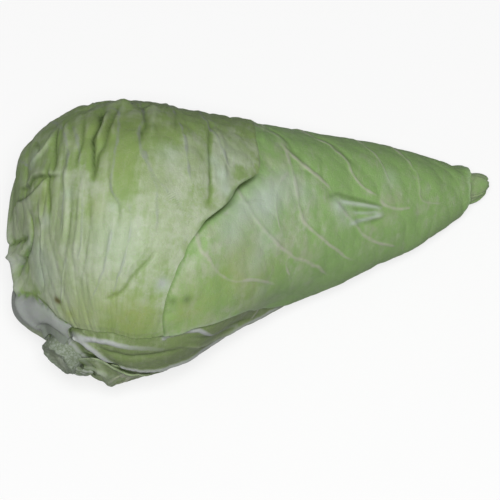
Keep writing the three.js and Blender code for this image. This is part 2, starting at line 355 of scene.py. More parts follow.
def stroke(site, knots, reach):
    """Places within reach of a line on the head: which, how far to its right and how far along it."""
    line = head_line(tuple(knots))
    low, high = line.min(0) - reach, line.max(0) + reach
    near = np.flatnonzero(np.all((site.place > low) & (site.place < high), axis=1))
    spot, out = site.place[near], site.out[near]
    best = np.full(len(near), np.inf)
    right = np.zeros(len(near))
    done = np.zeros(len(near))
    lengths = np.linalg.norm(np.diff(line, axis=0), axis=1)
    gone = np.concatenate([[0], np.cumsum(lengths)])
    for k, length in enumerate(lengths):
        ahead = (line[k + 1] - line[k]) / length
        step = np.clip((spot - line[k]) @ ahead, 0, length)
        away = spot - line[k] - step[:, None] * ahead
        far = np.linalg.norm(away, axis=1)
        closer = far < best
        side = np.einsum("ij,ij->i", np.cross(ahead, out), away)
        best = np.where(closer, far, best)
        right = np.where(closer, np.where(side < 0, -far, far), right)
        done = np.where(closer, (gone[k] + step) / gone[-1], done)
    return near, right, done


def fading(done, start, end):
    """1 along a line, falling to 0 over the first and the last share of it."""
    return ease(0, start, done) * ease(0, end, 1 - done)


def fold(site, kind, height, width, knots, fade=0.3):
    """The height of one fold at each place: a ridge, a crease or a pleat, which is high on its right."""
    relief = site.zeros()
    near, right, done = stroke(site, knots, FOLD_REACH * width * MM)
    off = right / (width * MM)
    if kind == "ridge":
        shape = np.exp(-off * off)
    elif kind == "crease":
        shape = -np.exp(0.4 - np.sqrt(off * off + 0.16))
    else:
        lip = 0.5 + 0.5 * np.tanh(2.2 * off)
        shape = lip * np.exp(-np.maximum(off, 0) / 2.4) - 0.45 * np.exp(-np.abs(off + 0.4))
    relief[near] = height * MM * fading(done, fade, fade) * shape
    return relief


def mound(site, turn, along, radius, height):
    """A rounded bump, or a dent if its height is negative."""
    middle = place(np.array(float(turn)), np.array(float(along)), 0.0)
    far = np.linalg.norm(site.place - middle, axis=1)
    return height * MM * np.exp(-((far / (radius * MM)) ** 2))


@dataclasses.dataclass(eq=False)
class Leaf:
    """One leaf in head coordinates. Lines are (turn, along) knots, widths and heights are in millimetres."""

    name: str
    slot: str
    seed: int
    # Along to turn, for the midrib, and along to degrees from it, for the margin on each side of it.
    midrib: list
    left: list
    right: list
    # Place across, from -1 to 1, to the along of the leaf's end.
    tip: list
    # How far its points are apart, gather towards its end and lean across it.
    spacing: float = 1.0
    crowd: float = 1.0
    lean: float = 0.0
    # How far it stands off the leaf below, and how far its margin curls up, in metres.
    step: float = 0.0014
    lift: float = 0.0004
    # Along to how free the margin is, from 0, blended into the leaf below, to 1.
    rim: tuple = ((0, 1), (1, 1))
    # The height, length and distance of its wrinkles, and the height and width of its blisters.
    wrinkle: tuple = (0.6, 30, 12)
    rough: tuple = ((-180, 1), (180, 1))
    blister: tuple = (0.25, 8)
    # The height and both end widths of the midrib, and where along it its pale colour fades.
    rib: tuple = (3.0, 2.6, 1.0)
    rib_fade: tuple = (0.4, 1.0)
    scar: float = 0.3
    # How green it is, by its along and by degrees from its midrib. The part by degrees makes it greener
    # towards the sides of the head, partly as painted shade.
    green: tuple = ((0, 0.35), (1, 0.35))
    flank: tuple = ((-180, 0), (180, 0))
    # Height, both end widths and line.
    ribs: tuple = ()
    # Width and line.
    veins: tuple = ()
    # Side, places along the midrib, sweep and seed, or else only a seed, for plain rows up both sides.
    side_veins: tuple = ()
    vein_seed: int = 0
    # Kind, height, width, line and, for some, how much of each end fades.
    folds: tuple = ()
    # Turn, along, radius and height.
    mounds: tuple = ()
    # Reach to the right of a line, and the line.
    flesh: tuple = ()
    # Kind, width, amount and line.
    lines: tuple = ()
    # For each kind of tint: turn, along, radius and amount.
    tints: dict = dataclasses.field(default_factory=dict)

    def __post_init__(self):
        self.ribs = [(*self.rib, self.rib_line()), *self.ribs]
        self.veins = [*self.veins]
        for row in self.side_veins or self.plain_rows():
            self.veins += self.row_of_veins(*row)

    def half_width(self, along, across):
        """Degrees from the midrib to the margin on the side that across is on."""
        left, right = through(self.left, along), through(self.right, along)
        ripple = 1 + MARGIN_RIPPLE * noise(self.seed + 20, along * 26, np.sign(across) * 3.3)
        return np.where(across < 0, left, right) * ripple

    def end(self, across):
        """How far along the head the leaf reaches at a place across it."""
        return through(self.tip, across) + MARGIN_WAVE * noise(self.seed + 21, across * 9, 0 * across)

    def inside(self, along, across):
        """How far inside the margin each place lies, in metres."""
        half = np.radians(self.half_width(along, across)) * ring_radius(along)
        near = np.clip(across, -1, 1)
        slope = (self.end(near + 0.01) - self.end(near - 0.01)) / 0.02 * MERIDIAN / half
        ahead = (self.end(near) - along) * MERIDIAN / np.sqrt(1 + slope * slope)
        return np.minimum((1 - np.abs(across)) * half, ahead)

    def spot(self, turn, along):
        """How far inside its margin each place lies, and how far across the leaf, in degrees."""
        inside = np.full(np.shape(turn), -np.inf)
        degrees = np.zeros(np.shape(turn))
        for wrap in (-360, 0, 360):
            off = turn + wrap - through(self.midrib, along)
            here = self.inside(along, off / self.half_width(along, off))
            better = here > inside
            inside = np.where(better, here, inside)
            degrees = np.where(better, off, degrees)
        return inside, degrees

    def rib_line(self):
        """The midrib's line, with more knots where it bends."""
        stop = through(self.tip, 0.0) - 0.02
        places = np.linspace(0, stop, 8)
        if stop > 0.4:
            places = (*np.linspace(0, 0.25, 6), *np.linspace(0.3, stop, 5))
        return [(float(through(self.midrib, a)), float(a)) for a in places]

    def plain_rows(self):
        top = float(through(self.tip, 0.0))
        starts = np.arange(0.06, 0.9 * top, 0.09 * max(top, 0.6))
        return [(side, starts, 0.32, self.vein_seed) for side in (-1, 1)]

    def row_of_veins(self, side, starts, sweep, seed):
        """Side veins that leave the midrib, bend towards the leaf's end and fork."""
        draw = np.random.default_rng(seed)
        veins = []
        for start in starts:
            bend = sweep * draw.uniform(0.8, 1.25)
            tracks = [(0.0, 0.94, bend), (draw.uniform(0.3, 0.5), 0.9, bend + draw.uniform(0.1, 0.22))]
            tracks.append((draw.uniform(0.5, 0.65), 0.92, bend - draw.uniform(0.1, 0.2)))
            for rank, (first, last, swing) in enumerate(tracks):
                knots = []
                for across in np.linspace(first, last, 6):
                    end = float(through(self.tip, side * across))
                    common = bend * first**1.6
                    rise = common + swing * (across**1.6 - first**1.6)
                    along = start + rise * max(end - start, 0.05) + draw.uniform(-0.004, 0.004)
                    half = float(through(self.left if side < 0 else self.right, along))
                    knots.append((float(through(self.midrib, along)) + side * across * half, along))
                veins.append((SIDE_VEIN_WIDTH * (1.0 if rank == 0 else 0.6), knots))
        return veins

    def fleshy(self, site):
        """How much of each place is smooth pale flesh: the right side of some lines."""
        share = site.zeros()
        for reach, knots in self.flesh:
            near, right, done = stroke(site, knots, reach * MM)
            patch = ease(-0.0006, 0.001, right) * ease(reach * MM, 0.6 * reach * MM, right)
            share[near] = np.maximum(share[near], patch * ease(0, 0.2, done))
        return share

    def creased(self, site, degrees):
        """The height of the leaf's folds and wrinkles, in millimetres."""
        around = np.radians(degrees) * ring_radius(site.along) / MM
        girdle = site.place @ GIRDLE / MM
        size, long, apart = self.wrinkle
        bare = 1 - self.fleshy(site)
        height = size * bare * through(self.rough, degrees)
        height *= wrinkles(self.seed, around / long, girdle / apart)
        for facts in self.folds:
            height += fold(site, *facts) / MM
        return height

    def painted_crease_shade(self, site):
        """How much painted shade each place gets for lying at the bottom of a deep fold."""
        dark = site.zeros()
        for kind, height, width, knots, *rest in self.folds:
            if kind != "ridge":
                near, right, done = stroke(site, knots, DARK_REACH * width * MM)
                off = right / (max(0.6 * width, DARK_WIDTH) * MM) + (0.4 if kind == "pleat" else 0.0)
                line = np.exp(-(off**2)) * fading(done, 0.25, 0.25) * min(1.0, 0.36 * height)
                dark[near] = np.maximum(dark[near], line)
        return dark

    def relief(self, site, degrees):
        """How far the leaf stands out of the smooth head: folds, ribs and swellings."""
        around = np.radians(degrees) * ring_radius(site.along) / MM
        ahead = site.along * MERIDIAN / MM
        size, wide = self.blister
        swelling = size * (blisters(self.seed + 4, around / wide, ahead / wide) - 0.4)
        swelling += 0.5 * noise(self.seed + 5, around / 26, ahead / 26)
        kept = ease(*COLLAR_FADE, site.along)
        out = (self.creased(site, degrees) + swelling * (1 - self.fleshy(site))) * MM * kept
        for height, base_width, end_width, knots in self.ribs:
            near, right, done = stroke(site, knots, LINE_REACH * base_width * MM)
            width = mix(base_width, end_width, ease(0, 0.7, done)) * MM
            out[near] += height * MM * (1 - ease(0.1, 0.95, done)) * np.exp(-((right / width) ** 2))
        for facts in self.mounds:
            out += mound(site, *facts) * kept
        return out

    def vein_marks(self, site):
        """Nearness to a vein, 1 on its line, and the height of the vein ridges."""
        nearness = site.zeros()
        height = site.zeros()
        x, y, z = site.place.T / MM
        stray = 0.5 * MM * noise(self.seed + 30, (x + z) / 5, (y - z) / 5)
        strength = 0.75 + 0.45 * noise(self.seed + 31, (x + z) / 7, (y - z) / 7)
        for width, knots in self.veins:
            near, right, done = stroke(site, knots, LINE_REACH * width * MM)
            size = VEIN_WIDTH * width * MM * mix(1.0, 0.5, done)
            off = np.abs(right + stray[near]) / size
            ends = fading(done, 0.1, 0.15) * strength[near]
            nearness[near] = np.maximum(nearness[near], np.clip(1 - off / 2, 0, 1) * ends)
            ridge = size * (0.4 * np.exp(-off * off) - 0.14 * np.exp(-((off - 2.2) ** 2)))
            height[near] += ridge * ends
        return nearness, height

    def rib_marks(self, site):
        """How pale each place is for lying on a rib, and for the scar by the collar."""
        rib = site.zeros()
        for height, base_width, end_width, knots in self.ribs:
            near, right, done = stroke(site, knots, LINE_REACH * base_width * MM)
            width = mix(base_width, end_width, ease(0, 0.7, done)) * MM
            band = ease(1.5, 0.6, np.abs(right) / width) * (1 - 0.75 * ease(*self.rib_fade, done))
            rib[near] = np.maximum(rib[near], band)
        scar = self.scar * np.exp(-(((site.along - SCAR_AT) / SCAR_WIDTH) ** 2))
        return np.maximum(rib, scar), scar


SIDE_LEAF = Leaf(
    "side_leaf", "ribbed_leaf", seed=11, rib=(1.8, 2.1, 1.5), scar=0.9, wrinkle=(0.5, 26, 8),
    midrib=[(0, 98), (0.008, 115), (0.017, 142), (0.028, 158), (0.043, 169), (0.076, 180), (0.117, 187),
            (0.162, 189), (0.21, 191), (0.3, 194), (0.6, 204)],
    left=[(0, 50), (0.14, 58)],
    right=[(0, 50), (0.14, 110)],
    tip=[(-1, 0.8), (0, 0.94), (1, 0.86)],
    green=[(0, 0.6), (0.1, 0.9), (0.3, 1.1), (0.5, 0.9)],
    ribs=[
        (1.2, 1.5, 1.3, [(116, 0.012), (132, 0.028), (144, 0.051), (150, 0.071), (159, 0.105), (165, 0.142),
                         (171, 0.21)]),
        (0.9, 1.2, 0.9, [(165, 0.215), (163, 0.245), (163, 0.264), (166, 0.295), (185, 0.367), (195, 0.42)]),
    ],
    folds=[
        ("crease", 1.6, 1.5, [(140, 0.034), (151, 0.051), (162, 0.078), (171, 0.126), (174, 0.182),
                              (174, 0.231), (172, 0.269)]),
        ("crease", 1.6, 1.6, [(178, 0.038), (193, 0.066), (200, 0.118), (206, 0.24)]),
        ("ridge", 1.2, 1.6, [(170, 0.226), (175, 0.283), (195, 0.391), (196, 0.476)]),
        ("crease", 1.4, 1.4, [(166, 0.242), (170, 0.298), (191, 0.41), (196, 0.483)]),
    ],
    side_veins=[(1, (0.1, 0.2, 0.3, 0.42, 0.55, 0.7), 0.35, 9), (-1, (0.45, 0.58, 0.7), 0.35, 10)],
    tints={
        "brown": [(168, 0.396, 3, 0.35)],
        "green": [(178, 0.285, 12, 0.6)],
    },
)

GROUND_LEAF = Leaf(
    "ground_leaf", "ribbed_leaf", seed=21, spacing=1.4,
    midrib=[(0, 205), (0.25, 238), (0.5, 252)],
    left=[(0, 30), (0.16, 30.1)],
    right=[(0, 40), (0.16, 105)],
    tip=[(-1, 0.62), (0, 0.9), (1, 0.82)],
    green=[(0, 0.5), (0.5, 0.6)],
    vein_seed=12,
)

FAR_LEAF = Leaf(
    "far_side_leaf", "wrapper_leaf", seed=31, spacing=1.3, rib=(3.0, 2.8, 1.0),
    midrib=[(0, 318), (0.5, 332)],
    left=[(0, 52), (0.15, 85)],
    right=[(0, 52), (0.15, 70)],
    tip=[(-1, 0.66), (0, 0.93), (1, 0.8)],
    green=[(0, 0.4), (0.5, 0.5), (0.9, 0.6)],
    vein_seed=13,
)

# The shaded line under the free margin of the outer leaf.
FOLD_SHADE = [
    (92, 0.449), (96, 0.43), (100, 0.394), (104, 0.364), (109, 0.342), (113, 0.314), (115, 0.286),
    (121, 0.262),
]

FRONT_LEAF = Leaf(
    "front_wrapper_leaf", "wrapper_leaf", seed=41, spacing=1.02, crowd=0.78, lean=0.3, rib=(2.2, 2.4, 0.9),
    wrinkle=(0.55, 26, 13), blister=(0.4, 10),
    midrib=[(0, 42), (0.5, 18)],
    left=[(0, 60), (0.1, 118)],
    right=[(0, 50), (0.01, 60), (0.03, 78), (0.055, 92), (0.09, 107), (0.13, 118), (0.17, 125), (0.2, 128.5),
           (0.22, 131.5), (0.27, 131.5), (0.32, 133.5), (0.365, 137.5), (0.4, 143), (0.43, 153), (0.5, 176),
           (0.6, 196)],
    tip=[(-1, 0.87), (-0.3, 0.951), (0.5, 0.955), (1, 0.935)],
    green=[(0, 0.25), (0.42, 0.3), (0.55, 0.5), (0.8, 0.6), (0.95, 0.75)],
    flank=[(40, 0.4), (70, 0.2), (100, 0), (130, 0.1), (160, 0.5)],
    veins=[
        (1.7, [(50, 0.293), (66, 0.35), (103, 0.384), (110, 0.394), (118, 0.408), (130, 0.447), (139, 0.484),
               (147, 0.524), (157, 0.565), (184, 0.639)]),
        (1.7, [(20, 0.49), (52, 0.5), (65, 0.523), (74, 0.523), (85, 0.539), (93, 0.564), (100, 0.588),
               (105, 0.6), (112, 0.606)]),
        (1.5, [(20, 0.51), (55, 0.518), (69, 0.53), (81, 0.521), (91, 0.518), (102, 0.515), (110, 0.514),
               (118, 0.516), (123, 0.523), (133, 0.554), (148, 0.608), (171, 0.673)]),
        (1.5, [(112, 0.59), (118, 0.611), (124, 0.626), (132, 0.647), (140, 0.666), (147, 0.688),
               (157, 0.724), (171, 0.771)]),
        (1.5, [(20, 0.61), (55, 0.615), (67, 0.638), (73, 0.642), (83, 0.659), (92, 0.661), (101, 0.671),
               (109, 0.694), (115, 0.73)]),
        (1.3, [(113, 0.714), (120, 0.722), (126, 0.76), (128, 0.794)]),
        (1.3, [(22, 0.79), (61, 0.807), (83, 0.815), (89, 0.821), (104, 0.818), (120, 0.817), (127, 0.843),
               (130, 0.889)]),
        (1.4, [(102, 0.263), (124, 0.274), (128, 0.286), (133, 0.299), (138, 0.319), (142, 0.342),
               (144, 0.376), (148, 0.415), (158, 0.474)]),
        (1.1, [(22, 0.72), (57, 0.727), (78, 0.739), (97, 0.743), (106, 0.759)]),
        (1.0, [(139, 0.484), (144, 0.476), (154, 0.493)]),
        (0.9, [(91, 0.518), (97, 0.491), (106, 0.466), (118, 0.457), (128, 0.462)]),
    ],
    folds=[
        ("crease", 1.2, 1.3, [(112, 0.57), (108, 0.613), (110, 0.638), (113, 0.667), (118, 0.7),
                              (124, 0.735)]),
        ("ridge", 1.0, 1.3, [(113, 0.615), (114, 0.628), (116, 0.657), (119, 0.685), (123, 0.72)]),
        ("ridge", 0.9, 1.3, [(125, 0.65), (127, 0.675), (129, 0.7), (128, 0.728)]),
        ("crease", 0.9, 1.2, [(128, 0.64), (132, 0.68), (132, 0.72)]),
        ("crease", 0.8, 1.4, [(119, 0.64), (122, 0.68), (125, 0.715)]),
        ("crease", 0.6, 1.4, [(51, 0.467), (55, 0.523), (68, 0.539), (80, 0.544), (93, 0.57)]),
        ("crease", 0.5, 1.4, [(51, 0.587), (59, 0.637), (74, 0.662), (91, 0.676)]),
        ("crease", 0.5, 1.6, [(52, 0.42), (64, 0.443), (80, 0.45), (94, 0.462)]),
    ],
    side_veins=[(-1, (0.1, 0.2, 0.3, 0.4, 0.5, 0.6, 0.7, 0.8), 0.3, 7)],
    mounds=[
        (105, 0.652, 9, -0.9), (79, 0.59, 12, 0.8), (134, 0.571, 12, 0.8), (120, 0.442, 12, 1.0),
        (88, 0.732, 9, 0.6), (138, 0.775, 8, 0.6), (101, 0.86, 7, 0.5), (66, 0.468, 10, 0.8),
        (148, 0.355, 10, 0.8), (118, 0.604, 4, 0.7),
    ],
    # The first two paint the shadow under the free margin of the outer leaf; on the dent near the point, the
    # pale lines paint highlights and the green ones paint shade between them.
    lines=[
        ("painted_shade", 1.3, 0.55, FOLD_SHADE),
        ("green", 1.8, 0.8, FOLD_SHADE),
        ("pale", 1.0, 1.3, [(113, 0.61), (115, 0.635), (118, 0.67), (123, 0.722)]),
        ("pale", 0.7, 1.0, [(122, 0.64), (124, 0.67), (125.5, 0.712)]),
        ("pale", 1.1, 1.3, [(130, 0.625), (129.5, 0.65), (129, 0.68), (127, 0.722)]),
        ("green", 0.9, 0.9, [(118, 0.625), (120, 0.65), (122, 0.69)]),
        ("green", 0.9, 0.9, [(109, 0.605), (111, 0.635), (114, 0.67), (119, 0.71)]),
        ("green", 0.8, 0.7, [(126.5, 0.63), (127, 0.66), (127, 0.7)]),
    ],
    tints={
        "green": [
            (104, 0.641, 8, 0.7), (145, 0.633, 7, 0.6), (154, 0.236, 8, 0.5), (148, 0.293, 8, 0.4),
            (120, 0.571, 8, 0.4), (144, 0.307, 10, 0.8), (66, 0.438, 12, 0.8), (58, 0.587, 12, 0.6),
            (98, 0.417, 4, 0.8), (87, 0.402, 5, 0.8), (145, 0.224, 2.6, 1.0), (145, 0.243, 3, 1.2),
            (150, 0.45, 12, 0.5), (152, 0.6, 12, 0.5), (86, 0.63, 7, 0.6),
        ],
        # Pale bloom, and painted highlights on the dent near the point.
        "pale": [
            (113, 0.433, 8, 0.6), (128, 0.424, 7, 0.6), (138, 0.397, 7, 0.5), (154, 0.421, 6, 0.4),
            (123, 0.621, 6, 0.5), (116, 0.605, 4, 1.1), (108, 0.43, 9, 0.9), (120, 0.345, 8, 0.8),
            (106, 0.53, 8, 0.6), (96, 0.5, 6, 0.5), (112, 0.38, 7, 0.9), (104, 0.47, 8, 0.8),
            (96, 0.75, 5, 0.5),
        ],
        # Spots of painted shade.
        "painted_shade": [(145, 0.225, 2.2, 0.5), (145, 0.243, 2.4, 0.6)],
        "yellow": [(150, 0.25, 14, 0.7), (148, 0.4, 16, 0.55), (137, 0.34, 13, 0.45)],
    },
)

SHORT_LEAF = Leaf(
    "short_side_leaf", "ribbed_leaf", seed=51, spacing=0.85, lift=0.001, rib=(1.6, 1.8, 0.9),
    rib_fade=(-0.1, 0.06), scar=0.4, wrinkle=(0.6, 22, 8),
    midrib=[(0, 178), (0.03, 196), (0.06, 206), (0.12, 215), (0.3, 231)],
    left=[(0, 34), (0.1, 24)],
    right=[(0, 34), (0.1, 62)],
    tip=[(-1, 0.22), (-0.2, 0.36), (0.4, 0.46), (1, 0.34)],
    green=[(0, 0.6), (0.5, 0.9)],
    vein_seed=14,
    mounds=[(213, 0.1, 9, 3.6), (210, 0.001, 9, 1.8)],
)

# The edge of the outer leaf's thick stalk, which lies to its right.
PETIOLE_EDGE = [
    (-64, 0.105), (-50, 0.075), (-37, 0.053), (-4, 0.023), (32, 0.013), (66, 0.01), (84, 0.009), (107, 0.017),
    (121, 0.025),
]

OUTER_LEAF = Leaf(
    "outer_wrapper_leaf", "outer_leaf", seed=61, spacing=0.8, lean=0.3, step=0.0013, rib=(2.0, 3.0, 1.2),
    rib_fade=(0.02, 0.14), scar=0.0, wrinkle=(1.2, 22, 4.5), blister=(0.4, 8),
    midrib=[(0, 356), (0.5, 338)],
    left=[(0, 105), (0.09, 114)],
    right=[(0, 101), (0.007, 103), (0.03, 127), (0.053, 142), (0.09, 155), (0.13, 166), (0.17, 171),
           (0.2, 172.5)],
    tip=[(-1, 0.42), (-0.5, 0.54), (0, 0.57), (0.25, 0.55), (0.38, 0.515), (0.53, 0.48), (0.61, 0.463),
         (0.655, 0.445), (0.676, 0.406), (0.692, 0.378), (0.709, 0.359), (0.726, 0.33), (0.738, 0.297),
         (0.756, 0.275), (0.784, 0.25), (0.822, 0.234), (0.85, 0.226), (0.895, 0.212), (0.94, 0.207),
         (0.97, 0.208), (1, 0.212)],
    rim=[(0, 0.5), (0.18, 0.5), (0.21, 0.6), (0.26, 0.6), (0.29, 1.0), (0.34, 1.3), (0.4, 1.1), (0.445, 0.3),
         (0.47, 0), (0.51, 0), (0.54, 0.5), (0.57, 0.8)],
    rough=[(-100, 0.9), (20, 1), (55, 0.9), (75, 0.5), (110, 0.3), (150, 0.25)],
    green=[(0, -0.5), (0.07, -0.4), (0.1, 0.0), (0.3, 0.0), (0.36, 0.1), (0.42, 0.35), (0.5, 0.5)],
    flank=[(-60, 0.6), (20, 0.7), (58, 0.6), (85, 0.1), (120, 0), (150, 0.2), (180, 0.3)],
    veins=[
        (1.3, [(-20, 0.3), (12, 0.295), (47, 0.266), (66, 0.237), (79, 0.226), (90, 0.227), (100, 0.235),
               (107, 0.246), (115, 0.279)]),
        (1.0, [(79, 0.229), (90, 0.226), (99, 0.226), (109, 0.219), (119, 0.212)]),
        (1.1, [(-20, 0.245), (38, 0.22), (52, 0.228), (71, 0.209), (86, 0.184), (92, 0.177), (99, 0.179),
               (109, 0.168)]),
        (1.6, [(-20, 0.425), (20, 0.42), (58, 0.377), (76, 0.374), (87, 0.374), (99, 0.385)]),
        (1.2, [(-20, 0.2), (20, 0.181), (51, 0.164), (63, 0.148), (72, 0.125), (79, 0.1), (84, 0.068)]),
        (1.0, [(43, 0.183), (61, 0.169), (71, 0.156), (85, 0.138), (98, 0.109), (103, 0.073)]),
        (0.9, [(99, 0.191), (109, 0.184), (117, 0.167), (125, 0.145), (131, 0.117)]),
        (0.9, [(105, 0.16), (112, 0.141), (119, 0.118), (124, 0.082)]),
        (0.9, [(92, 0.081), (92, 0.053), (95, 0.028)]),
        (1.1, [(-1, 0.115), (11, 0.128), (21, 0.125), (38, 0.114)]),
        (1.3, [(-20, 0.36), (20, 0.355), (57, 0.315), (76, 0.301), (91, 0.284), (102, 0.281), (111, 0.291)]),
    ],
    folds=[
        ("crease", 1.8, 0.9, [(36, 0.175), (41, 0.161), (47, 0.149), (54, 0.136), (60, 0.126)]),
        ("crease", 1.2, 0.9, [(48, 0.198), (51, 0.19), (61, 0.174), (66, 0.159), (71, 0.147)]),
        ("crease", 2.8, 1.3, [(40, 0.225), (49, 0.213), (57, 0.202), (62, 0.187), (68, 0.18), (75, 0.17),
                              (85, 0.159)], 0.2),
        ("ridge", 1.6, 1.3, [(49, 0.222), (57, 0.209), (64, 0.195), (70, 0.182)]),
        ("crease", 1.5, 1.0, [(51, 0.226), (55, 0.218), (69, 0.196), (73, 0.18), (82, 0.167)]),
        ("ridge", 1.2, 1.5, [(43, 0.238), (51, 0.232), (62, 0.213), (73, 0.204)]),
        ("crease", 1.2, 1.0, [(42, 0.236), (47, 0.233), (57, 0.219), (65, 0.206)]),
        ("crease", 1.5, 1.1, [(40, 0.275), (51, 0.261), (70, 0.235), (80, 0.224)]),
        ("ridge", 1.0, 1.8, [(46, 0.287), (55, 0.278), (70, 0.244), (79, 0.235)]),
        ("pleat", 2.2, 1.2, [(68, 0.14), (59, 0.125), (44, 0.113), (38, 0.108), (33, 0.101), (14, 0.1)]),
        ("pleat", 2.4, 1.1, [(-9, 0.089), (20, 0.088), (36, 0.091), (47, 0.102), (54, 0.119), (58, 0.13)]),
        ("ridge", 1.4, 1.4, [(27, 0.12), (36, 0.13), (40, 0.142), (40, 0.154), (35, 0.166)]),
        ("ridge", 1.2, 1.4, [(36, 0.186), (53, 0.162), (66, 0.14), (71, 0.122)]),
        ("crease", 1.3, 0.9, [(20, 0.15), (31, 0.142), (35, 0.132)]),
        ("crease", 1.2, 0.9, [(56, 0.162), (62, 0.148), (67, 0.138)]),
        ("crease", 2.4, 1.0, [(36, 0.08), (43, 0.07), (43, 0.06), (33, 0.048), (8, 0.04), (-8, 0.037)], 0.15),
        ("crease", 1.8, 0.9, [(-20, 0.068), (10, 0.057), (27, 0.056), (42, 0.06)]),
        ("ridge", 1.8, 1.3, [(-22, 0.058), (2, 0.05), (17, 0.047), (30, 0.052)]),
        ("crease", 1.4, 0.9, [(49, 0.13), (57, 0.114), (63, 0.1), (67, 0.085)]),
        ("ridge", 0.9, 1.2, [(51, 0.096), (58, 0.082), (62, 0.066), (60, 0.05)]),
        ("ridge", 0.8, 1.2, [(62, 0.144), (69, 0.132), (76, 0.119), (83, 0.098), (84, 0.075)]),
        ("crease", 0.6, 1.0, [(71, 0.149), (76, 0.13), (83, 0.114), (88, 0.09), (90, 0.06)]),
        ("ridge", 0.7, 1.3, [(74, 0.155), (80, 0.142), (87, 0.127), (94, 0.105), (99, 0.08)]),
        ("crease", 0.5, 1.0, [(81, 0.16), (88, 0.145), (96, 0.131), (102, 0.115), (108, 0.09), (113, 0.068)]),
        ("crease", 0.8, 0.8, [(122, 0.212), (125, 0.197), (127, 0.182), (129, 0.164), (132, 0.144),
                              (131, 0.12), (128, 0.098)], 0.15),
        ("ridge", 0.5, 1.1, [(119, 0.2), (122, 0.186), (124, 0.17), (127, 0.15)]),
        ("crease", 1.1, 0.9, [(60, 0.39), (71, 0.366), (83, 0.345), (93, 0.331), (102, 0.319),
                              (110, 0.305)], 0.12),
        ("ridge", 0.8, 1.8, [(66, 0.391), (78, 0.38), (89, 0.366), (98, 0.353), (104, 0.342)]),
        ("pleat", 0.6, 1.1, [(115, 0.279), (107, 0.246), (100, 0.235), (90, 0.227), (79, 0.226)]),
        ("pleat", 0.6, 1.0, [(109, 0.168), (99, 0.179), (92, 0.177), (84, 0.184), (75, 0.198)]),
        ("crease", 0.8, 1.6, [(51, 0.33), (58, 0.317), (66, 0.302), (72, 0.287)]),
        ("crease", 2.2, 1.1, PETIOLE_EDGE, 0.12),
    ],
    side_veins=[(-1, (0.05, 0.12, 0.19, 0.26, 0.33, 0.4), 0.3, 5)],
    mounds=[
        (345, 0.026, 12, 3.4), (-14, 0.015, 10, 3.4), (18, 0.004, 9, 3.8), (314, 0.036, 11, 3.4),
        (70, 0.001, 7, 1.4), (45, 0.238, 5, 3.0), (50, 0.275, 4, 1.0), (30, 0.178, 9, -0.8),
        (31, 0.105, 6, -1.2), (352, 0.052, 12, 0.8), (38, 0.212, 5, -1.4), (47, 0.262, 4, -1.0),
    ],
    flesh=[(24, PETIOLE_EDGE)],
    # Painted shadow along its own free margin.
    lines=[
        ("painted_shade", 0.9, 0.5, FOLD_SHADE),
        ("green", 1.4, 0.6, FOLD_SHADE),
    ],
    tints={
        "green": [
            (128, 0.026, 4, 0.9), (92, 0.03, 5, 0.8), (67, 0.216, 9, 0.7), (70, 0.24, 8, 0.6),
            (68, 0.306, 9, 0.5), (60, 0.353, 9, 0.5), (93, 0.194, 6, 0.7), (100, 0.185, 6, 0.6),
            (81, 0.233, 8, 0.4), (138, 0.077, 8, 0.5), (152, 0.138, 8, 0.5), (154, 0.182, 8, 0.5),
            (86, 0.2, 9, 0.8), (74, 0.2, 8, 0.6), (79, 0.216, 7, 0.4), (66, 0.331, 13, 0.4),
            (72, 0.175, 3, 0.9), (64, 0.185, 3, 0.9), (52, 0.125, 4, 0.8), (90, 0.128, 5, 0.5),
            (104, 0.29, 6, 0.5), (122, 0.19, 8, 0.3), (96, 0.39, 4, 0.4), (80, 0.41, 8, 0.2),
            (86, 0.32, 4, 0.6), (112, 0.1, 11, -0.5), (66, 0.2, 8, 0.5), (76, 0.262, 7, 0.5),
            (73, 0.24, 8, 0.35), (82, 0.205, 7, 0.35), (65, 0.441, 9, 0.4), (54, 0.5, 9, 0.4),
            (84, 0.395, 8, -0.45), (72, 0.43, 8, -0.3), (92, 0.4, 3, 0.5), (66, 0.042, 11, -0.4),
        ],
        "brown": [(85, 0.028, 2.0, 1.0), (90, 0.03, 1.5, 0.6)],
        # Patches of painted shade among the folds.
        "painted_shade": [
            (68, 0.235, 10, 0.14), (66, 0.2, 8, 0.14), (62, 0.3, 10, 0.12), (148, 0.11, 12, 0.1),
            (50, 0.205, 12, 0.3), (40, 0.25, 14, 0.3), (40, 0.34, 14, 0.25), (34, 0.17, 10, 0.2),
            (66, 0.225, 5, 0.2), (44, 0.42, 14, 0.25), (74, 0.245, 9, 0.1),
        ],
        "yellow": [
            (150, 0.13, 10, 0.5), (66, 0.26, 16, 0.25), (84, 0.2, 12, 0.3), (135, 0.12, 12, 0.5),
            (148, 0.17, 9, 0.6), (120, 0.05, 10, 0.6), (105, 0.03, 6, 0.5), (60, 0.2, 14, 0.4),
            (56, 0.1, 10, 0.4), (93, 0.15, 6, 0.5),
        ],
        # Pale bloom, and painted highlights.
        "pale": [
            (57, 0.053, 6, 0.6), (52, 0.032, 6, 0.8), (137, 0.212, 3.5, 1.0), (33, 0.13, 5, 0.7),
            (100, 0.345, 4, 0.5), (64, 0.083, 4, 0.6), (75, 0.125, 3, 0.7), (98, 0.17, 3, 0.6),
            (112, 0.16, 14, 0.5), (84, 0.255, 6, 0.5), (95, 0.352, 4.5, 1.0), (88, 0.345, 4, 0.7),
            (103, 0.352, 3, 0.8), (84, 0.39, 9, 0.3), (70, 0.045, 8, 0.45), (36, 0.048, 6, 0.6),
        ],
        "rib": [(136, 0.211, 2.6, 0.8), (8, 0.042, 4, 0.6), (-6, 0.048, 4, 0.5)],
    },
)

# Innermost first.
LEAVES = [SIDE_LEAF, GROUND_LEAF, FAR_LEAF, FRONT_LEAF, SHORT_LEAF, OUTER_LEAF]


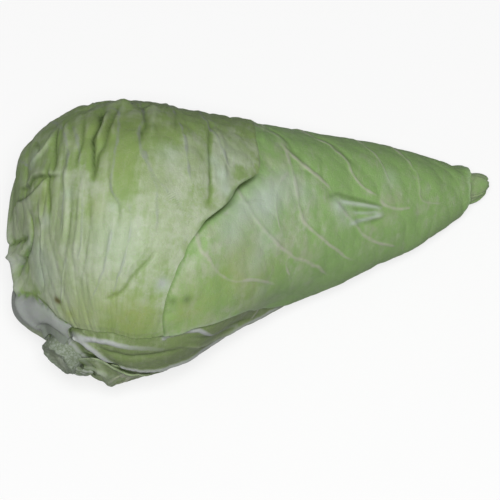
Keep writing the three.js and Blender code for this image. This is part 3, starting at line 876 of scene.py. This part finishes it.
def pressed_by(index, site):
    """How deep a leaf is pressed by those over it, and how bare of them and shaded by them each place is."""
    depth = site.zeros()
    for facts in HEAD_MOUNDS:
        depth -= mound(site, *facts)
    bare = np.ones(len(site.turn))
    sheltered = site.zeros()
    for leaf in LEAVES[index + 1:]:
        inside, degrees = leaf.spot(site.turn, site.along)
        rim = through(leaf.rim, site.along)
        cover = ease(-DRAPE, 0.0, inside)
        depth += cover * (leaf.step * mix(0.3, 1.0, rim) - leaf.relief(site, degrees))
        bare *= 1 - ease(-TUCK, 0.0, inside)
        # The strip past a free margin that gets painted shadow and a slight dip.
        reach = SHELTER * np.maximum(rim, 0.1)
        sheltered = np.maximum(sheltered, ease(-1.0, -0.3, inside / reach) * np.clip(rim, 0, 1))
    return depth, bare, sheltered


def select_only(*chosen):
    if bpy.context.object and bpy.context.object.mode != "OBJECT":
        bpy.ops.object.mode_set(mode="OBJECT")
    bpy.ops.object.select_all(action="DESELECT")
    for made in chosen:
        made.select_set(True)
        bpy.context.view_layer.objects.active = made


def named(name):
    """Names the newest object and its mesh."""
    made = bpy.context.object
    made.name = made.data.name = name
    return made


def points_of(made):
    flat = np.empty(3 * len(made.data.vertices))
    made.data.vertices.foreach_get("co", flat)
    return flat.reshape(-1, 3)


def move_points(made, points):
    made.data.vertices.foreach_set("co", np.ascontiguousarray(points, dtype=np.float32).ravel())
    made.data.update()


def start_editing(kind):
    """Opens edit mode with nothing selected."""
    bpy.ops.object.mode_set(mode="EDIT")
    bpy.ops.mesh.select_mode(type=kind)
    bpy.ops.mesh.select_all(action="DESELECT")


def sheet(name, columns, rows):
    """A flat grid of points, with how far across and along it each one lies."""
    select_only()
    bpy.ops.mesh.primitive_grid_add(x_subdivisions=columns, y_subdivisions=rows, size=2)
    made = named(name)
    flat = points_of(made)
    return made, flat[:, 0], (flat[:, 1] + 1) / 2


def mark(made, name, values):
    """Stores one number for each point of a piece, for its finish to read."""
    layer = made.data.attributes.new(name, "FLOAT", "POINT")
    layer.data.foreach_set("value", np.ascontiguousarray(values, dtype=np.float32))


def tint_marks(leaf, site, degrees, inside, nearness, sheltered):
    """How much of each tint a leaf has at each place."""
    marks = {name: site.zeros() for name in MARKS}
    marks["vein"] = nearness
    marks["green"] = through(leaf.green, site.along) + through(leaf.flank, degrees)
    marks["painted_shade"] = leaf.painted_crease_shade(site)
    marks["rib"], scar = leaf.rib_marks(site)
    marks["flesh"] = leaf.fleshy(site)
    for kind, spots in leaf.tints.items():
        for spot in spots:
            marks[kind] += mound(site, *spot) / MM
    for kind, width, amount, knots in leaf.lines:
        near, right, done = stroke(site, knots, LINE_REACH * width * MM)
        marks[kind][near] += amount * np.exp(-((right / (width * MM)) ** 2)) * fading(done, 0.15, 0.2)
    # Painted highlight along a free margin, where it curls up.
    lip = np.clip(2 * through(leaf.rim, site.along) - 1, 0, 1)
    marks["pale"] += 0.3 * ease(*MARGIN_HIGHLIGHT, inside) * lip
    # Painted shadow past the free margin of the leaf over it, and painted shade darkening the leaf towards
    # the collar.
    marks["green"] += PAINTED_SHADOW_GREEN * sheltered
    marks["painted_shade"] += PAINTED_SHADOW_DARK * sheltered + 0.5 * ease(*COLLAR_SHADE, site.along)
    marks["painted_shade"] *= 1 - scar
    marks["fold"] = np.clip(leaf.creased(site, degrees) / FOLD_FULL, -1, 1)
    marks["round"] = np.radians(degrees) * ring_radius(site.along)
    marks["girdle"] = site.place @ GIRDLE
    return marks


def make_leaf(leaf, sizes):
    """One leaf: a fine outer face and a plain inner one, joined round the margin."""
    widest = max(knot[1] for knot in leaf.left) + max(knot[1] for knot in leaf.right)
    wide = math.radians(widest) * GIRTH_RADIUS * LEAF_TAPER
    long = (float(through(leaf.tip, 0.0)) + COLLAR) * MERIDIAN
    spacing = sizes.spacing * leaf.spacing * INNER_STEP
    columns, rows = round(wide / spacing), round(long / spacing)
    faces = []
    for step in (INNER_STEP, 1):
        made, across, share = sheet(leaf.name + "_blade", columns * step, rows * step)
        across = across + leaf.lean * (1 - across**2) / 2
        along = mix(-COLLAR, leaf.end(across), share**leaf.crowd)
        midrib = through(leaf.midrib, along)
        turn = midrib + across * leaf.half_width(along, across)
        degrees = turn - midrib
        site = Site(turn, along)
        inside = leaf.inside(along, across)
        pressed, bare, sheltered = pressed_by(LEAVES.index(leaf), site)
        nearness, veins = leaf.vein_marks(site)
        rim = through(leaf.rim, along)
        curl = leaf.lift * ease(CURL_REACH, 0.0, inside)
        curl *= 0.7 + 0.5 * noise(leaf.seed + 9, along * 30, degrees / 14)
        curl *= ease(*CURL_FROM, along) * rim
        relief = leaf.relief(site, degrees) + veins * sizes.vein_relief
        flush = SINK * (1 - rim) * ease(FLUSH_REACH, 0.0, inside)
        depth = pressed + flush - bare * (relief + curl - SHELTER_DIP * sheltered)
        if step == 1:
            depth += mix(sizes.edge, sizes.body, ease(0.0, EDGE_REACH, inside))
        move_points(made, collared(place(turn, along, depth), along))
        if step > 1:
            for name, values in tint_marks(leaf, site, degrees, inside, nearness, sheltered).items():
                mark(made, name, values)
        faces.append(made)
    return join_faces(*faces)


def join_faces(outer, inner):
    """Joins an outer and an inner face round their edges into one closed shell."""
    select_only(inner, outer)
    bpy.ops.object.join()
    start_editing("EDGE")
    bpy.ops.mesh.select_non_manifold(
        extend=False, use_wire=False, use_multi_face=False, use_non_contiguous=False, use_verts=False)
    bpy.ops.mesh.bridge_edge_loops()
    bpy.ops.mesh.select_all(action="SELECT")
    bpy.ops.mesh.normals_make_consistent(inside=False)
    bpy.ops.object.mode_set(mode="OBJECT")
    bpy.ops.object.shade_smooth_by_angle(angle=math.radians(60))
    return outer


def settle(piece, node, slot, finish):
    """Gives a piece its finish, hides the frame node that it stands for and hangs it from the body."""
    piece.data.materials.clear()
    piece.data.materials.append(finish)
    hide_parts(node)
    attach(piece, BODY)


class Nodes:
    """The nodes of a material or a world, with short ways to add to them."""

    def __init__(self, owner):
        owner.use_nodes = True
        self.tree = owner.node_tree
        self.tree.nodes.clear()

    def add(self, kind, settings=None, **inputs):
        node = self.tree.nodes.new(kind)
        for key, value in (settings or {}).items():
            setattr(node, key, value)
        for key, value in inputs.items():
            self.feed(node.inputs[key.replace("_", " ")], value)
        return node

    def feed(self, socket, value):
        if isinstance(value, bpy.types.NodeSocket):
            self.tree.links.new(value, socket)
        else:
            socket.default_value = value

    def feed_all(self, node, *values):
        for socket, value in zip(node.inputs, values):
            self.feed(socket, value)
        return node.outputs[0]

    def sum(self, a, b, operation="ADD"):
        return self.feed_all(self.add("ShaderNodeMath", {"operation": operation}), a, b)

    def times(self, a, b):
        return self.sum(a, b, "MULTIPLY")

    def ramp(self, value, low, high, start=0.0, end=1.0):
        """Start below low and end above high, with a smooth change between."""
        limits = dict(From_Min=low, From_Max=high, To_Min=start, To_Max=end)
        settings = {"interpolation_type": "SMOOTHSTEP"}
        return self.add("ShaderNodeMapRange", settings, Value=value, **limits).outputs["Result"]

    def blend(self, share, a, b):
        node = self.add("ShaderNodeMix", {"data_type": "RGBA"})
        self.feed(node.inputs["Factor"], share)
        for socket, tone in ((node.inputs[6], a), (node.inputs[7], b)):
            self.feed(socket, tone if isinstance(tone, bpy.types.NodeSocket) else (*tone, 1))
        return node.outputs[2]


class Finish(Nodes):
    """A material: its nodes, and a shader that they feed."""

    def __init__(self, name):
        self.material = bpy.data.materials.new(name)
        super().__init__(self.material)
        self.shader = self.add("ShaderNodeBsdfPrincipled")
        self.output = self.add("ShaderNodeOutputMaterial", Surface=self.shader.outputs[0])
        self.place = self.add("ShaderNodeTexCoord").outputs["Object"]

    def set(self, **inputs):
        for key, value in inputs.items():
            self.feed(self.shader.inputs[key.replace("_", " ")], value)

    def mark(self, name):
        return self.add("ShaderNodeAttribute", {"attribute_name": name}).outputs["Fac"]

    def noise(self, scale, detail=3, rough=0.55, vector=None):
        sizes = dict(Scale=scale, Detail=detail, Roughness=rough)
        return self.add("ShaderNodeTexNoise", Vector=vector or self.place, **sizes).outputs["Fac"]

    def net(self, scale, vector):
        """Distance from the lines of a net."""
        settings = {"feature": "DISTANCE_TO_EDGE"}
        return self.add("ShaderNodeTexVoronoi", settings, Vector=vector, Scale=scale).outputs["Distance"]

    def bump(self, height, strength, distance):
        node = self.add("ShaderNodeBump", Strength=strength, Distance=distance, Height=height)
        self.set(Normal=node.outputs["Normal"])


def leaf_finish(name, colours, green, vein_tone):
    """Waxy leaf: mottled and streaked, with painted shade in its creases, painted highlights on its ridges
    and margins, a net of veins, fleshy ribs and a dull bloom.
    """
    finish = Finish(name)
    ramp, blend, total, times = finish.ramp, finish.blend, finish.sum, finish.times
    broad = finish.noise(45, 4)
    small = finish.noise(230, 3)
    grain = finish.noise(1300, 2)
    patches = finish.noise(170, 3, 0.6)
    mottle = total(times(broad, 0.7), times(small, 0.3))
    around, ahead = times(finish.mark("round"), 45.0), times(finish.mark("girdle"), 230.0)
    streaks = finish.noise(1.0, 4, 0.6, finish.add("ShaderNodeCombineXYZ", X=around, Y=ahead).outputs[0])
    folds = finish.mark("fold")

    # Greener for the green mark, for random patches and streaks, and as painted shade in creases and under
    # free margins.
    greener_and_shaded = total(finish.mark("green"), ramp(broad, 0.35, 0.7, -0.2, 0.3))
    greener_and_shaded = total(greener_and_shaded, ramp(patches, 0.35, 0.65, -0.2, 0.2))
    greener_and_shaded = total(greener_and_shaded, ramp(streaks, 0.3, 0.7, 0.16, -0.16))
    # Painted shade: greener in the creases.
    greener_and_shaded = total(greener_and_shaded, ramp(folds, -1.0, 0.2, 0.9, 0.0))

    stray = finish.add("ShaderNodeTexNoise", Vector=finish.place, Scale=800.0, Detail=2.0)
    bent = finish.feed_all(
        finish.add("ShaderNodeVectorMath", {"operation": "MULTIPLY_ADD"}),
        stray.outputs["Color"], (0.006, 0.006, 0.006), finish.place)
    net = ramp(finish.net(150, bent), 0.0, 0.1, 1.0, 0.0)
    fine = ramp(finish.net(420, bent), 0.0, 0.14, 1.0, 0.0)
    vein = ramp(finish.mark("vein"), 0.15, 0.8)

    blade = blend(ramp(mottle, 0.4, 0.6), colours.blade, colours.bloom_and_highlight)
    for share, tone in (
        (ramp(greener_and_shaded, 0.0, 1.0), green),
        (times(finish.mark("yellow"), ramp(small, 0.3, 0.7, 0.6, 1.1)), colours.yellow),
        # Painted highlight: paler on the ridges of folds.
        (ramp(folds, 0.1, 1.0, 0.0, 0.4), colours.bloom_and_highlight),
        (ramp(streaks, 0.52, 0.75, 0.0, 0.2), colours.bloom_and_highlight),
        (times(net, 0.1), colours.vein),
        (times(fine, 0.06), colours.vein),
        (times(vein, ramp(small, 0.3, 0.7, 0.45, 0.85)), vein_tone),
        # Pale waxy bloom, and painted highlights on margins and on the dent near the point.
        (times(finish.mark("pale"), 0.75), colours.wax_and_highlight),
        (finish.mark("rib"), blend(ramp(mottle, 0.35, 0.65, 0.0, 0.5), colours.rib, colours.rib_shade)),
        (finish.mark("flesh"), blend(ramp(mottle, 0.35, 0.65, 0.0, 0.6), colours.flesh, colours.rib_shade)),
        (finish.mark("brown"), colours.blemish),
        # Painted shade: near black green in creases, under a free margin and on the collar.
        (times(finish.mark("painted_shade"), 0.8), colours.painted_shade),
    ):
        blade = blend(share, blade, tone)
    finish.set(
        Base_Color=blade, Roughness=ramp(mottle, 0.3, 0.7, 0.42, 0.58), Specular_IOR_Level=0.38,
        Subsurface_Weight=0.08, Subsurface_Radius=(0.5, 1.0, 0.3), Subsurface_Scale=0.002)
    height = total(times(net, -0.2), times(fine, -0.1))
    for part, amount in ((grain, 0.12), (streaks, 0.5), (vein, 0.3)):
        height = total(height, times(part, amount))
    finish.bump(height, 0.5, 0.0006)
    return finish.material


def cut_finish(colours):
    """The cut end of the stalk: pale pith, a fibrous ring and a dull rind."""
    finish = Finish("cut_stalk")
    grain = finish.noise(900, 5, 0.7)
    broad = finish.noise(140, 3)
    face = finish.blend(finish.ramp(broad, 0.35, 0.65), colours.cut, colours.cut_shade)
    rind = finish.blend(finish.ramp(grain, 0.3, 0.7), colours.rib_shade, colours.torn)
    shade = finish.blend(finish.ramp(finish.mark("ring"), 0.55, 0.8), face, rind)
    shade = finish.blend(finish.ramp(grain, 0.5, 0.75), shade, colours.cut_shade)
    finish.set(Base_Color=shade, Roughness=0.75)
    finish.bump(finish.sum(grain, broad), 0.8, 0.0008)
    return finish.material


def torn_finish(colours):
    """Torn leaf stalks: dull, wrinkled and bruised, with painted highlights on their swellings."""
    finish = Finish("torn_stalk_skin")
    broad = finish.noise(120, 4)
    grain = finish.noise(620, 5, 0.65)
    skin = finish.blend(finish.ramp(broad, 0.38, 0.62), colours.torn, colours.torn_light)
    # Painted highlights on the swellings.
    skin = finish.blend(finish.times(finish.mark("pale"), 0.9), skin, colours.rib)
    skin = finish.blend(finish.ramp(grain, 0.62, 0.8), skin, colours.blemish)
    finish.set(Base_Color=skin, Roughness=0.6, Specular_IOR_Level=0.3)
    finish.bump(finish.sum(grain, finish.times(broad, 0.6)), 0.7, 0.0009)
    return finish.material


def number(name, description, default, **kind):
    return FloatProperty(name=name, description=description, default=default, **kind)


def length(name, description, default):
    return number(name, description, default, unit="LENGTH", subtype="DISTANCE")


def angle(name, description, degrees):
    return number(name, description, math.radians(degrees), unit="ROTATION", subtype="ANGLE")


def colour(name, description, default):
    return FloatVectorProperty(
        name=name, description=description, default=default, subtype="COLOR", min=0, max=1)


class LeafSizes(bpy.types.PropertyGroup):
    """How fine and how thick the leaves are."""

    spacing: length("Point spacing", "Distance between points on a leaf's outer face", 0.00105)
    edge: length("Margin thickness", "Thickness of a leaf at its margin", 0.0009)
    body: length("Blade thickness", "Thickness of a leaf away from its margin, with its folds", 0.0032)
    vein_relief: number("Vein relief", "Height of the veins, as a multiple of their natural height", 0.6)


class LeafColours(bpy.types.PropertyGroup):
    """The colours of the leaves and the stalk."""

    blade: colour("Blade", "Plain colour of a leaf", (0.35, 0.44, 0.235))
    # The bloom also serves as painted highlight on the ridges of folds.
    bloom_and_highlight: colour("Bloom", "Waxy bloom on the leaves", (0.47, 0.54, 0.38))
    # The wax tone also serves as painted highlight.
    wax_and_highlight: colour("Wax", "Palest places of the waxy bloom", (0.48, 0.58, 0.45))
    # The outer, wrapper and inner green tones also carry painted shade in creases, under free margins and
    # towards the sides of the head.
    outer_green_and_shade: colour("Outer green", "Greener places of the outermost leaf", (0.25, 0.37, 0.115))
    wrapper_green_and_shade: colour("Wrapper green", "Greener places of the wrapper leaves", (0.265, 0.44, 0.145))
    yellow: colour("Yellow green", "Yellower places of the leaves", (0.31, 0.39, 0.12))
    # Painted shade: the near black green put at the bottoms of deep folds, under a free margin and on the
    # collar.
    painted_shade: colour("Deep green", "The bottoms of deep folds", (0.05, 0.085, 0.02))
    inner_green_and_shade: colour("Inner green", "Greener places of the side leaves", (0.195, 0.27, 0.095))
    vein: colour("Vein", "Side veins", (0.5, 0.51, 0.4))
    dull_vein: colour("Dull vein", "Side veins of the outermost leaf", (0.32, 0.36, 0.3))
    rib: colour("Rib", "Pale flesh of ribs and leaf stalks", (0.46, 0.485, 0.465))
    flesh: colour("Flesh", "Skin of the thick leaf stalk", (0.37, 0.395, 0.375))
    rib_shade: colour("Rib shade", "Darker flesh of ribs and leaf stalks", (0.36, 0.41, 0.34))
    blemish: colour("Blemish", "Brown marks", (0.13, 0.12, 0.04))
    cut: colour("Cut stalk", "Pith of the cut stalk", (0.42, 0.47, 0.37))
    cut_shade: colour("Cut stalk shade", "Fibres of the cut stalk", (0.25, 0.29, 0.2))
    torn: colour("Torn stalk", "Skin of the torn leaf stalks", (0.12, 0.16, 0.08))
    torn_light: colour("Torn stalk light", "Paler skin of the torn leaf stalks", (0.26, 0.31, 0.21))


class StageSettings(bpy.types.PropertyGroup):
    """The camera, lamps and floor."""

    azimuth: angle("Azimuth", "Turn of the camera round the head", -17.3)
    elevation: angle("Elevation", "Height of the camera over the floor", 65)
    distance: length("Distance", "From the camera to the head", 1.389)
    drop: length("Drop", "How far up the picture from the head's middle the camera aims", -0.0238)
    slide: length("Slide", "How far across the picture from the head's middle the camera aims", -0.0008)
    lens: number("Lens", "Focal length in millimetres", 202, unit="CAMERA")
    key_power: number("Key light", "Power of the key light", 22.0, unit="POWER")
    key_size: length("Key size", "Side of the key light", 0.4)
    fill: number("Fill", "Strength of the even light from all round", 0.12)
    floor_size: length("Floor size", "Side of the floor", 6.0)


class CABBAGE_OT_leaves(bpy.types.Operator):
    """Wrap the six leaves round the head"""

    bl_idname = "cabbage.leaves"
    bl_label = "Wrap leaves"

    def execute(self, context):
        sizes, colours = context.scene.cabbage_sizes, context.scene.cabbage_colours
        finishes = {
            "outer_leaf": leaf_finish("outer_leaf_skin", colours, colours.outer_green_and_shade, colours.dull_vein),
            "wrapper_leaf": leaf_finish("wrapper_leaf_skin", colours, colours.wrapper_green_and_shade, colours.vein),
            "ribbed_leaf": leaf_finish("ribbed_leaf_skin", colours, colours.inner_green_and_shade, colours.vein),
        }
        for leaf in LEAVES:
            settle(make_leaf(leaf, sizes), leaf.name, leaf.slot, finishes[leaf.slot])
        return {"FINISHED"}


class CABBAGE_OT_heart(bpy.types.Operator):
    """Shape the heart, which shows at the point"""

    bl_idname = "cabbage.heart"
    bl_label = "Shape heart"

    def execute(self, context):
        select_only()
        bpy.ops.mesh.primitive_uv_sphere_add(segments=160, ring_count=220, radius=1)
        heart = named("heart_core")
        ball = points_of(heart)
        turn = np.degrees(np.arctan2(ball[:, 1], ball[:, 0]))
        along = (1 - np.arccos(np.clip(ball[:, 2], -1, 1)) / math.pi) ** 0.6
        site = Site(turn, along)
        pressed, bare, _ = pressed_by(-1, site)
        relief = sum(fold(site, *facts) for facts in HEART_FOLDS)
        lobes = 0.0004 * noise(71, turn / 40, along * 60) * ease(0.9, 0.96, along)
        slim = HEART_SLIM * ease(0.93, 0.965, along)
        depth = pressed + HEART_SUNK - bare * (relief + lobes - slim)
        points = collared(place(turn, along, depth), along)
        points += tilted(np.array([1.0, 0, 0])) * (HEART_REACH * ease(0.94, 1, along))[:, None]
        points[:, 2] = np.maximum(points[:, 2], pressed)
        move_points(heart, points)
        for name in MARKS:
            mark(heart, name, through(HEART_TINT, along) if name == "green" else site.zeros())
        bpy.ops.object.shade_smooth()
        colours = context.scene.cabbage_colours
        finish = leaf_finish("heart_skin", colours, colours.wrapper_green_and_shade, colours.vein)
        settle(heart, "heart", "inner_leaf", finish)
        return {"FINISHED"}


class CABBAGE_OT_stalk(bpy.types.Operator):
    """Cut the stalk, with its fibrous face"""

    bl_idname = "cabbage.stalk"
    bl_label = "Cut stalk"

    def execute(self, context):
        select_only()
        long = STALK_PROUD + STALK_SUNK
        middle = RIM + STALK_AXIS * (STALK_PROUD - long / 2)
        bpy.ops.mesh.primitive_cylinder_add(
            vertices=96, radius=STALK_RADIUS, depth=long, end_fill_type="NGON")
        stalk = named("cut_stalk")
        start_editing("FACE")
        bpy.ops.object.mode_set(mode="OBJECT")
        for face in stalk.data.polygons:
            face.select = face.normal.z > 0.9
        bpy.ops.object.mode_set(mode="EDIT")
        for inset, drop in STALK_RINGS:
            bpy.ops.mesh.inset(thickness=inset, depth=drop)
        bpy.ops.mesh.poke()
        bpy.ops.mesh.select_all(action="SELECT")
        bpy.ops.mesh.subdivide(number_cuts=1)
        bpy.ops.object.mode_set(mode="OBJECT")
        points = points_of(stalk)
        x, y, z = points.T.copy()
        radius = np.hypot(x, y)
        top = ease(long / 2 - 0.002, long / 2, z)
        lumps = noise(81, 3 * np.arctan2(y, x), z / 0.006) * 0.0006 * ease(0.006, 0.011, radius)
        fibres = noise(82, x / 0.0012, y / 0.0012) * 0.00035
        points[:, 2] += top * (fibres + 0.0006 * noise(83, x / 0.005, y / 0.005))
        points[:, :2] *= (1 + lumps / np.maximum(radius, 0.001))[:, None]
        mark(stalk, "ring", radius / STALK_RADIUS)
        turned = Vector((0, 0, 1)).rotation_difference(Vector(STALK_AXIS)).to_matrix()
        move_points(stalk, points @ np.array(turned).T + middle)
        select_only(stalk)
        bpy.ops.object.shade_smooth_by_angle(angle=math.radians(50))
        settle(stalk, "stalk", "stalk", cut_finish(context.scene.cabbage_colours))
        return {"FINISHED"}


class CABBAGE_OT_torn_stalks(bpy.types.Operator):
    """Tear the two leaf stalks that are left on the cut stalk"""

    bl_idname = "cabbage.torn_stalks"
    bl_label = "Tear leaf stalks"

    def execute(self, context):
        finish = torn_finish(context.scene.cabbage_colours)
        for node, *facts in STUBS:
            settle(self.tear(node, *facts), node, "torn_stalk", finish)
        return {"FINISHED"}

    def tear(self, node, turn, spread, height, end, clear, seed):
        """A flap that bends from the side of the stalk out to the head."""
        faces = []
        for step in (2, 1):
            made, across, share = sheet(node + "_flap", 48 * step, 36 * step)
            ragged = 1 + 0.12 * noise(seed, across * 5, 0 * across) - 0.3 * across**2
            under = turn + across * mix(*spread, share)
            reach = collared(place(under, 0 * under, -clear * ragged * MM), end + 0 * under)
            side = reach - RIM
            side = unit(side - (side @ STALK_AXIS)[:, None] * STALK_AXIS)
            root = RIM + STALK_AXIS * height * MM + side * (STALK_RADIUS - 0.001)
            bend = root + side * 0.4 * np.linalg.norm(reach - root, axis=1, keepdims=True)
            part = share[:, None]
            skin = root * (1 - part) ** 2 + bend * 2 * part * (1 - part) + reach * part**2
            lift = 0.0012 * noise(seed + 1, across * 2.6, share * 1.6)
            lift += 0.0005 * noise(seed + 2, across * 6, share * 4)
            lift += 0.0008 * (blisters(seed + 3, across * 2.2, share * 1.8) - 0.4)
            if step == 1:
                lift -= mix(*STUB_THICK, share) * ease(1.15, 0.6, np.abs(across))
            move_points(made, skin + unit(mix(STALK_AXIS, side, part)) * lift[:, None])
            if step > 1:
                # Painted highlight: paler on the tops of the swellings.
                swollen = blisters(seed + 3, across * 3.2, share * 2.6)
                mark(made, "pale", np.clip(swollen - 0.55, 0, 1) * 1.4)
            faces.append(made)
        return join_faces(*faces)


class CABBAGE_OT_stage(bpy.types.Operator):
    """Set the camera, the lamps and the pale floor"""

    bl_idname = "cabbage.stage"
    bl_label = "Set stage"

    def execute(self, context):
        settings = context.scene.cabbage_stage
        cos, sin = math.cos(settings.elevation), math.sin(settings.elevation)
        ahead = Vector((-math.sin(settings.azimuth), math.cos(settings.azimuth), 0))
        back = Vector((0, 0, sin)) - ahead * cos
        upward = ahead * sin + Vector((0, 0, cos))
        low, high = (Vector(corner) for corner in CAD_BOX)
        aim = (low + high) / 2 + upward * settings.drop + upward.cross(back) * settings.slide
        self.camera(context, aim, back, settings)
        self.lamps(context, aim, back, upward, settings)
        self.floor(settings)
        return {"FINISHED"}

    def camera(self, context, aim, back, settings):
        select_only()
        turned = back.to_track_quat("Z", "Y").to_euler()
        bpy.ops.object.camera_add(location=aim + back * settings.distance, rotation=turned)
        camera = bpy.context.object
        camera.data.lens = settings.lens
        camera.data.clip_end = FAR_CLIP
        context.scene.camera = camera

    def lamps(self, context, aim, back, upward, settings):
        toward = (back + upward * KEY_LIFT).normalized()
        turned = toward.to_track_quat("Z", "Y").to_euler()
        bpy.ops.object.light_add(type="AREA", location=aim + toward * KEY_DISTANCE, rotation=turned)
        key = bpy.context.object
        key.name = "key_light"
        key.data.energy = settings.key_power
        key.data.size = settings.key_size
        context.scene.world = bpy.data.worlds.new("even_light")
        nodes = Nodes(context.scene.world)
        path = nodes.add("ShaderNodeLightPath").outputs
        either = nodes.sum(path["Is Camera Ray"], path["Is Transmission Ray"], "MAXIMUM")
        strength = nodes.add("ShaderNodeMapRange", Value=either, To_Min=settings.fill, To_Max=1.0)
        even = nodes.add("ShaderNodeBackground", Color=(1, 1, 1, 1), Strength=strength.outputs["Result"])
        nodes.add("ShaderNodeOutputWorld", Surface=even.outputs[0])
        context.scene.view_settings.view_transform = "Standard"

    def floor(self, settings):
        select_only()
        bpy.ops.mesh.primitive_plane_add(size=settings.floor_size, location=(0, 0, 0))
        floor = named("floor")
        finish = Finish("pale_floor")
        seen = finish.add("ShaderNodeLightPath").outputs["Is Camera Ray"]
        tone = finish.blend(seen, (FLOOR_BOUNCE,) * 3, (1, 1, 1))
        finish.set(Base_Color=tone, Roughness=1.0, Specular_IOR_Level=0.0)
        glow = finish.add("ShaderNodeEmission", Color=(1, 1, 1, 1), Strength=1.0)
        share = finish.times(seen, FLOOR_GLOW)
        both = finish.feed_all(
            finish.add("ShaderNodeMixShader"), share, finish.shader.outputs[0], glow.outputs[0])
        finish.feed(finish.output.inputs["Surface"], both)
        floor.data.materials.append(finish.material)


class CABBAGE_PT_panel(bpy.types.Panel):
    """Lists the steps that build the cabbage"""

    bl_idname = "CABBAGE_PT_panel"
    bl_label = "Pointed Cabbage"
    bl_space_type = "VIEW_3D"
    bl_region_type = "UI"
    bl_category = "Cabbage"

    def draw(self, context):
        for step in STEPS:
            self.layout.operator(step.bl_idname)
        for group in GROUPS:
            for name in getattr(context.scene, group).__annotations__:
                self.layout.prop(getattr(context.scene, group), name)


STEPS = (CABBAGE_OT_leaves, CABBAGE_OT_heart, CABBAGE_OT_stalk, CABBAGE_OT_torn_stalks, CABBAGE_OT_stage)
GROUPS = {"cabbage_sizes": LeafSizes, "cabbage_colours": LeafColours, "cabbage_stage": StageSettings}


def register():
    for kind in (*GROUPS.values(), *STEPS, CABBAGE_PT_panel):
        bpy.utils.register_class(kind)
    for name, kind in GROUPS.items():
        setattr(bpy.types.Scene, name, PointerProperty(type=kind))


def unregister():
    for name in GROUPS:
        delattr(bpy.types.Scene, name)
    for kind in (CABBAGE_PT_panel, *reversed(STEPS), *reversed(list(GROUPS.values()))):
        bpy.utils.unregister_class(kind)


def main():
    register()
    bpy.ops.cabbage.leaves()
    bpy.ops.cabbage.heart()
    bpy.ops.cabbage.stalk()
    bpy.ops.cabbage.torn_stalks()
    bpy.ops.cabbage.stage()


if __name__ == "__main__":
    main()
